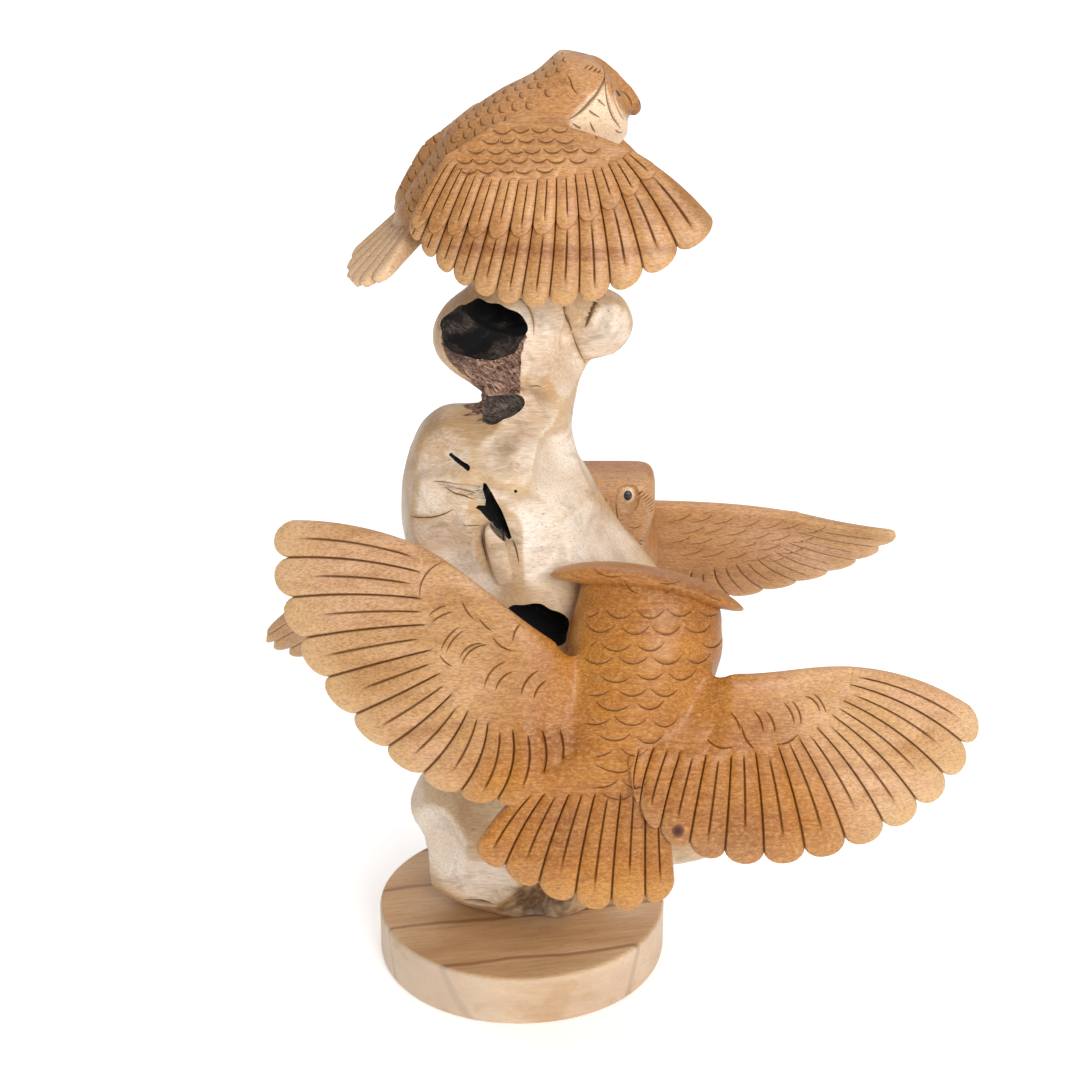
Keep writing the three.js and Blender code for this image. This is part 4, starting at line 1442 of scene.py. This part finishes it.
# The pale note: a painted highlight on the adze flats, and the finger's paler wood.
colour = blend(sapwood, product(sapwood, pale, span(sapwood, tone, 0.3, 0.6, 0.35, 0.8)), colour, "F4E8DA")
colour = blend(sapwood, product(sapwood, tan, span(sapwood, marks, 0.3, 0.6, 0.8, 0.45)), colour, "B8874C")
colour = blend(sapwood, span(sapwood, band, 0.5, 0.74, 0, 0.5), colour, "B08452")
colour = blend(sapwood, span(sapwood, stain, 0.54, 0.72, 0, 0.6), colour, "83715F")
colour = blend(sapwood, span(sapwood, fibre, 0.42, 0.7, 0, 0.34), colour, "866A4E")
colour = blend(sapwood, span(sapwood, marks, 0.5, 0.75, 0, 0.28), colour, "F0DFCA")
colour = blend(sapwood, product(sapwood, speck, 0.6), colour, "5E4936")
threads = patches(sapwood, stretched(sapwood, coords, 9, 0.8), 3.0, 0.6)
fibres = ramp(sapwood, threads, (0.36, "4A4239"), (0.5, "A39886"), (0.66, "D5CBBB"))
colour = blend(sapwood, span(sapwood, weather, 0.42, 0.62, 0, 0.8), colour, fibres)
# V cuts and the root's dark patches: oil and dirt, with painted shade in the cuts and under the front owl.
colour = blend(sapwood, span(sapwood, cut, 0.08, 0.9, 0, 0.85), colour, "4A3627")
slant = add_node(sapwood, "ShaderNodeMapping", {"Vector": coords, "Rotation": (0, -math.radians(BARK_SLANT), 0)})
bark = patches(sapwood, stretched(sapwood, slant.outputs["Vector"], 5.5, 2.4), 6.0, 0.75, 1.4)
ragged = patches(sapwood, stretched(sapwood, coords, 3, 2), 3.0, 0.6)
crust = ramp(sapwood, bark, (0.4, "251912"), (0.47, "6B4E3E"), (0.55, "967361"), (0.68, "D2B6A0"))
crust = blend(sapwood, span(sapwood, black, 0.2, 0.9, 0, 0.8), crust, "181310")
edge = add_node(sapwood, "ShaderNodeMath", {0: rotten, 1: span(sapwood, ragged, 0.3, 0.7, -0.06, 0.06)}, operation="ADD")
rotten = span(sapwood, edge.outputs[0], 0.46, 0.54)
colour = blend(sapwood, rotten, colour, crust)
sapwood.node_tree.links.new(colour, shader.inputs["Base Color"])
smoothness = span(sapwood, tone, 0.3, 0.7, 0.48, 0.34)
smoothness = add_node(sapwood, "ShaderNodeMath", {0: smoothness, 1: rotten}, operation="MAXIMUM").outputs[0]
sapwood.node_tree.links.new(smoothness, shader.inputs["Roughness"])
bump = add_node(sapwood, "ShaderNodeBump", {"Height": marks, "Strength": 0.2, "Distance": 1.0 * MM})
sapwood.node_tree.links.new(bump.outputs["Normal"], shader.inputs["Normal"])

# Rotted wood inside the hollows and cracks: dull, fibrous and grey-brown like old bark, and black where they go deep,
# which is partly rot and partly painted shade.
rotted, shader = new_material("rotted wood")
coords = add_node(rotted, "ShaderNodeTexCoord").outputs["Object"]
black_rot_and_shade = add_node(rotted, "ShaderNodeAttribute", attribute_name="black_rot_and_shade").outputs["Fac"]
slant = add_node(rotted, "ShaderNodeMapping", {"Vector": coords, "Rotation": (0, -math.radians(BARK_SLANT), 0)})
bark = patches(rotted, stretched(rotted, slant.outputs["Vector"], 5.5, 2.4), 6.0, 0.75, 1.4)
patch = patches(rotted, stretched(rotted, coords, 14, 12), 3.0, 0.6)
colour = ramp(rotted, bark, (0.36, "211915"), (0.46, "54453D"), (0.55, "7F6F64"), (0.68, "AD9B8C"))
deep = add_node(rotted, "ShaderNodeMath", {0: black_rot_and_shade, 1: span(rotted, patch, 0.3, 0.7, -0.3, 0.3)}, operation="ADD")
# Black where the note runs high: rot, and painted shade in the depths of the hollows and cracks.
colour = blend(rotted, span(rotted, deep.outputs[0], 0.35, 0.9), colour, "080706")
rotted.node_tree.links.new(colour, shader.inputs["Base Color"])
shader.inputs["Roughness"].default_value = 0.9
bump = add_node(rotted, "ShaderNodeBump", {"Height": bark, "Strength": 0.9, "Distance": 2.0 * MM})
rotted.node_tree.links.new(bump.outputs["Normal"], shader.inputs["Normal"])

# Slate paint: the back owl's eyes are dotted on with a dark blue-grey paint, the only paint on the work.
slate, shader = new_material("slate paint")
coords = add_node(slate, "ShaderNodeTexCoord").outputs["Object"]
dab = patches(slate, stretched(slate, coords, 1.2, 1.2), 2.0, 0.5)
slate.node_tree.links.new(ramp(slate, dab, (0.4, "1B2226"), (0.65, "39454B")), shader.inputs["Base Color"])
shader.inputs["Roughness"].default_value = 0.35

for i, finish in enumerate((sapwood, heartwood, rotted, slate)):
    carving.data.materials[i] = finish

# Plain-sawn plank of the same wood, planed and sanded: pale between thin brown growth lines that run the board's
# length. Its sides are paler and greyer than its top, mostly as painted light for the brighter light they catch and
# partly as paler wood.
LINE_STEP = 37.5
LINE_PHASE = 0.95
disc, shader = new_material("plain sawn plank")
coords = add_node(disc, "ShaderNodeTexCoord").outputs["Object"]
plank = add_node(disc, "ShaderNodeMapping", {"Vector": coords, "Rotation": (0.28, 0, -0.21)}).outputs["Vector"]
tone = patches(disc, stretched(disc, plank, 120, 26), 3.0, 0.5)
streak = patches(disc, stretched(disc, plank, 60, 1.8), 3.0, 0.6)
fibre = patches(disc, stretched(disc, plank, 10, 0.6), 2.0, 0.5)
pore = span(disc, patches(disc, stretched(disc, plank, 4, 0.5), 1.0, 0.5), 0.66, 0.76)
lines = add_node(
    disc,
    "ShaderNodeTexWave",
    {
        "Vector": plank,
        "Scale": 2 * math.pi / 20 / (LINE_STEP * MM),
        "Phase Offset": LINE_PHASE,
        "Distortion": 1.6,
        "Detail": 3.0,
        "Detail Scale": 1.2,
    },
    bands_direction="Y",
).outputs["Fac"]
top_wood = ramp(disc, tone, (0.3, "B98D60"), (0.5, "CCA477"), (0.7, "DEBD94"))
top_wood = blend(disc, span(disc, streak, 0.35, 0.7, 0, 0.35), top_wood, "96693F")
top_wood = blend(disc, span(disc, fibre, 0.4, 0.75, 0, 0.2), top_wood, "8A6240")
top_wood = blend(disc, product(disc, pore, 0.55), top_wood, "5A3A22")
top_wood = blend(disc, span(disc, lines, 0.975, 0.998, 0, 0.62), top_wood, "7D4A29")
apart = add_node(disc, "ShaderNodeSeparateXYZ", {"Vector": coords})
flat = add_node(disc, "ShaderNodeCombineXYZ", {"X": apart.outputs["X"], "Y": apart.outputs["Y"]}).outputs[0]
out = add_node(disc, "ShaderNodeVectorMath", {0: flat}, operation="LENGTH").outputs["Value"]
side = span(disc, out, (plinth_radius - 2.0) * MM, (plinth_radius - 0.8) * MM)
# Painted light, with some paler wood: the sides are mixed half-way to a pale grey.
side_wood = blend(disc, 0.5, top_wood, "D9CAB8")
brown = patches(disc, stretched(disc, coords, 34, 20), 3.0, 0.6)
side_wood = blend(disc, span(disc, brown, 0.52, 0.66, 0, 0.45), side_wood, "A9824F")
final = blend(disc, side, top_wood, side_wood)
disc.node_tree.links.new(final, shader.inputs["Base Color"])
shader.inputs["Roughness"].default_value = 0.5
bump = add_node(disc, "ShaderNodeBump", {"Height": fibre, "Strength": 0.12, "Distance": 1.0 * MM})
disc.node_tree.links.new(bump.outputs["Normal"], shader.inputs["Normal"])
plinth.data.materials.append(disc)

# Studio: a plain white floor and soft light from above, with the camera where the photograph was taken from.
CAMERA_AT = (10, -996, 665)
CAMERA_DOWN = 22.9
LENS = 70
SENSOR = 36

bpy.ops.mesh.primitive_plane_add(size=12)
floor = bpy.context.object
floor.name = "studio_floor"
paper, shader = new_material("white paper floor")
shader.inputs["Base Color"].default_value = linear("F8F8F8")
shader.inputs["Roughness"].default_value = 1.0
shader.inputs["Emission Color"].default_value = linear("FFFFFF")
shader.inputs["Emission Strength"].default_value = 0.3
floor.data.materials.append(paper)

world = bpy.data.worlds.new("studio")
bpy.context.scene.world = world
world.use_nodes = True
world.node_tree.nodes["Background"].inputs["Color"].default_value = linear("FFFFFF")
world.node_tree.nodes["Background"].inputs["Strength"].default_value = 0.5


def softbox(name, at, aim, size, power):
    """A square soft light that points at a place."""
    bpy.ops.object.light_add(type="AREA", location=at)
    light = bpy.context.object
    light.name = name
    light.data.size = size
    light.data.energy = power
    light.rotation_euler = (Vector(aim) - Vector(at)).to_track_quat("-Z", "Y").to_euler()


softbox("key_softbox", (0.6, -1.55, 1.0), (0.03, 0, 0.25), 0.8, 21.5)
softbox("top_softbox", (0.2, 0.0, 1.7), (0.03, 0, 0.25), 1.2, 9)
softbox("backdrop_softbox", (0, 3.4, 2.2), (0, 3.8, 0), 3.0, 60)

camera = bpy.data.objects.new("camera", bpy.data.cameras.new("camera"))
bpy.context.collection.objects.link(camera)
camera.location = [c * MM for c in CAMERA_AT]
camera.rotation_euler = (math.radians(90 - CAMERA_DOWN), 0, 0)
camera.data.lens = LENS
camera.data.sensor_width = SENSOR
bpy.context.scene.camera = camera
bpy.context.scene.view_settings.view_transform = "Standard"
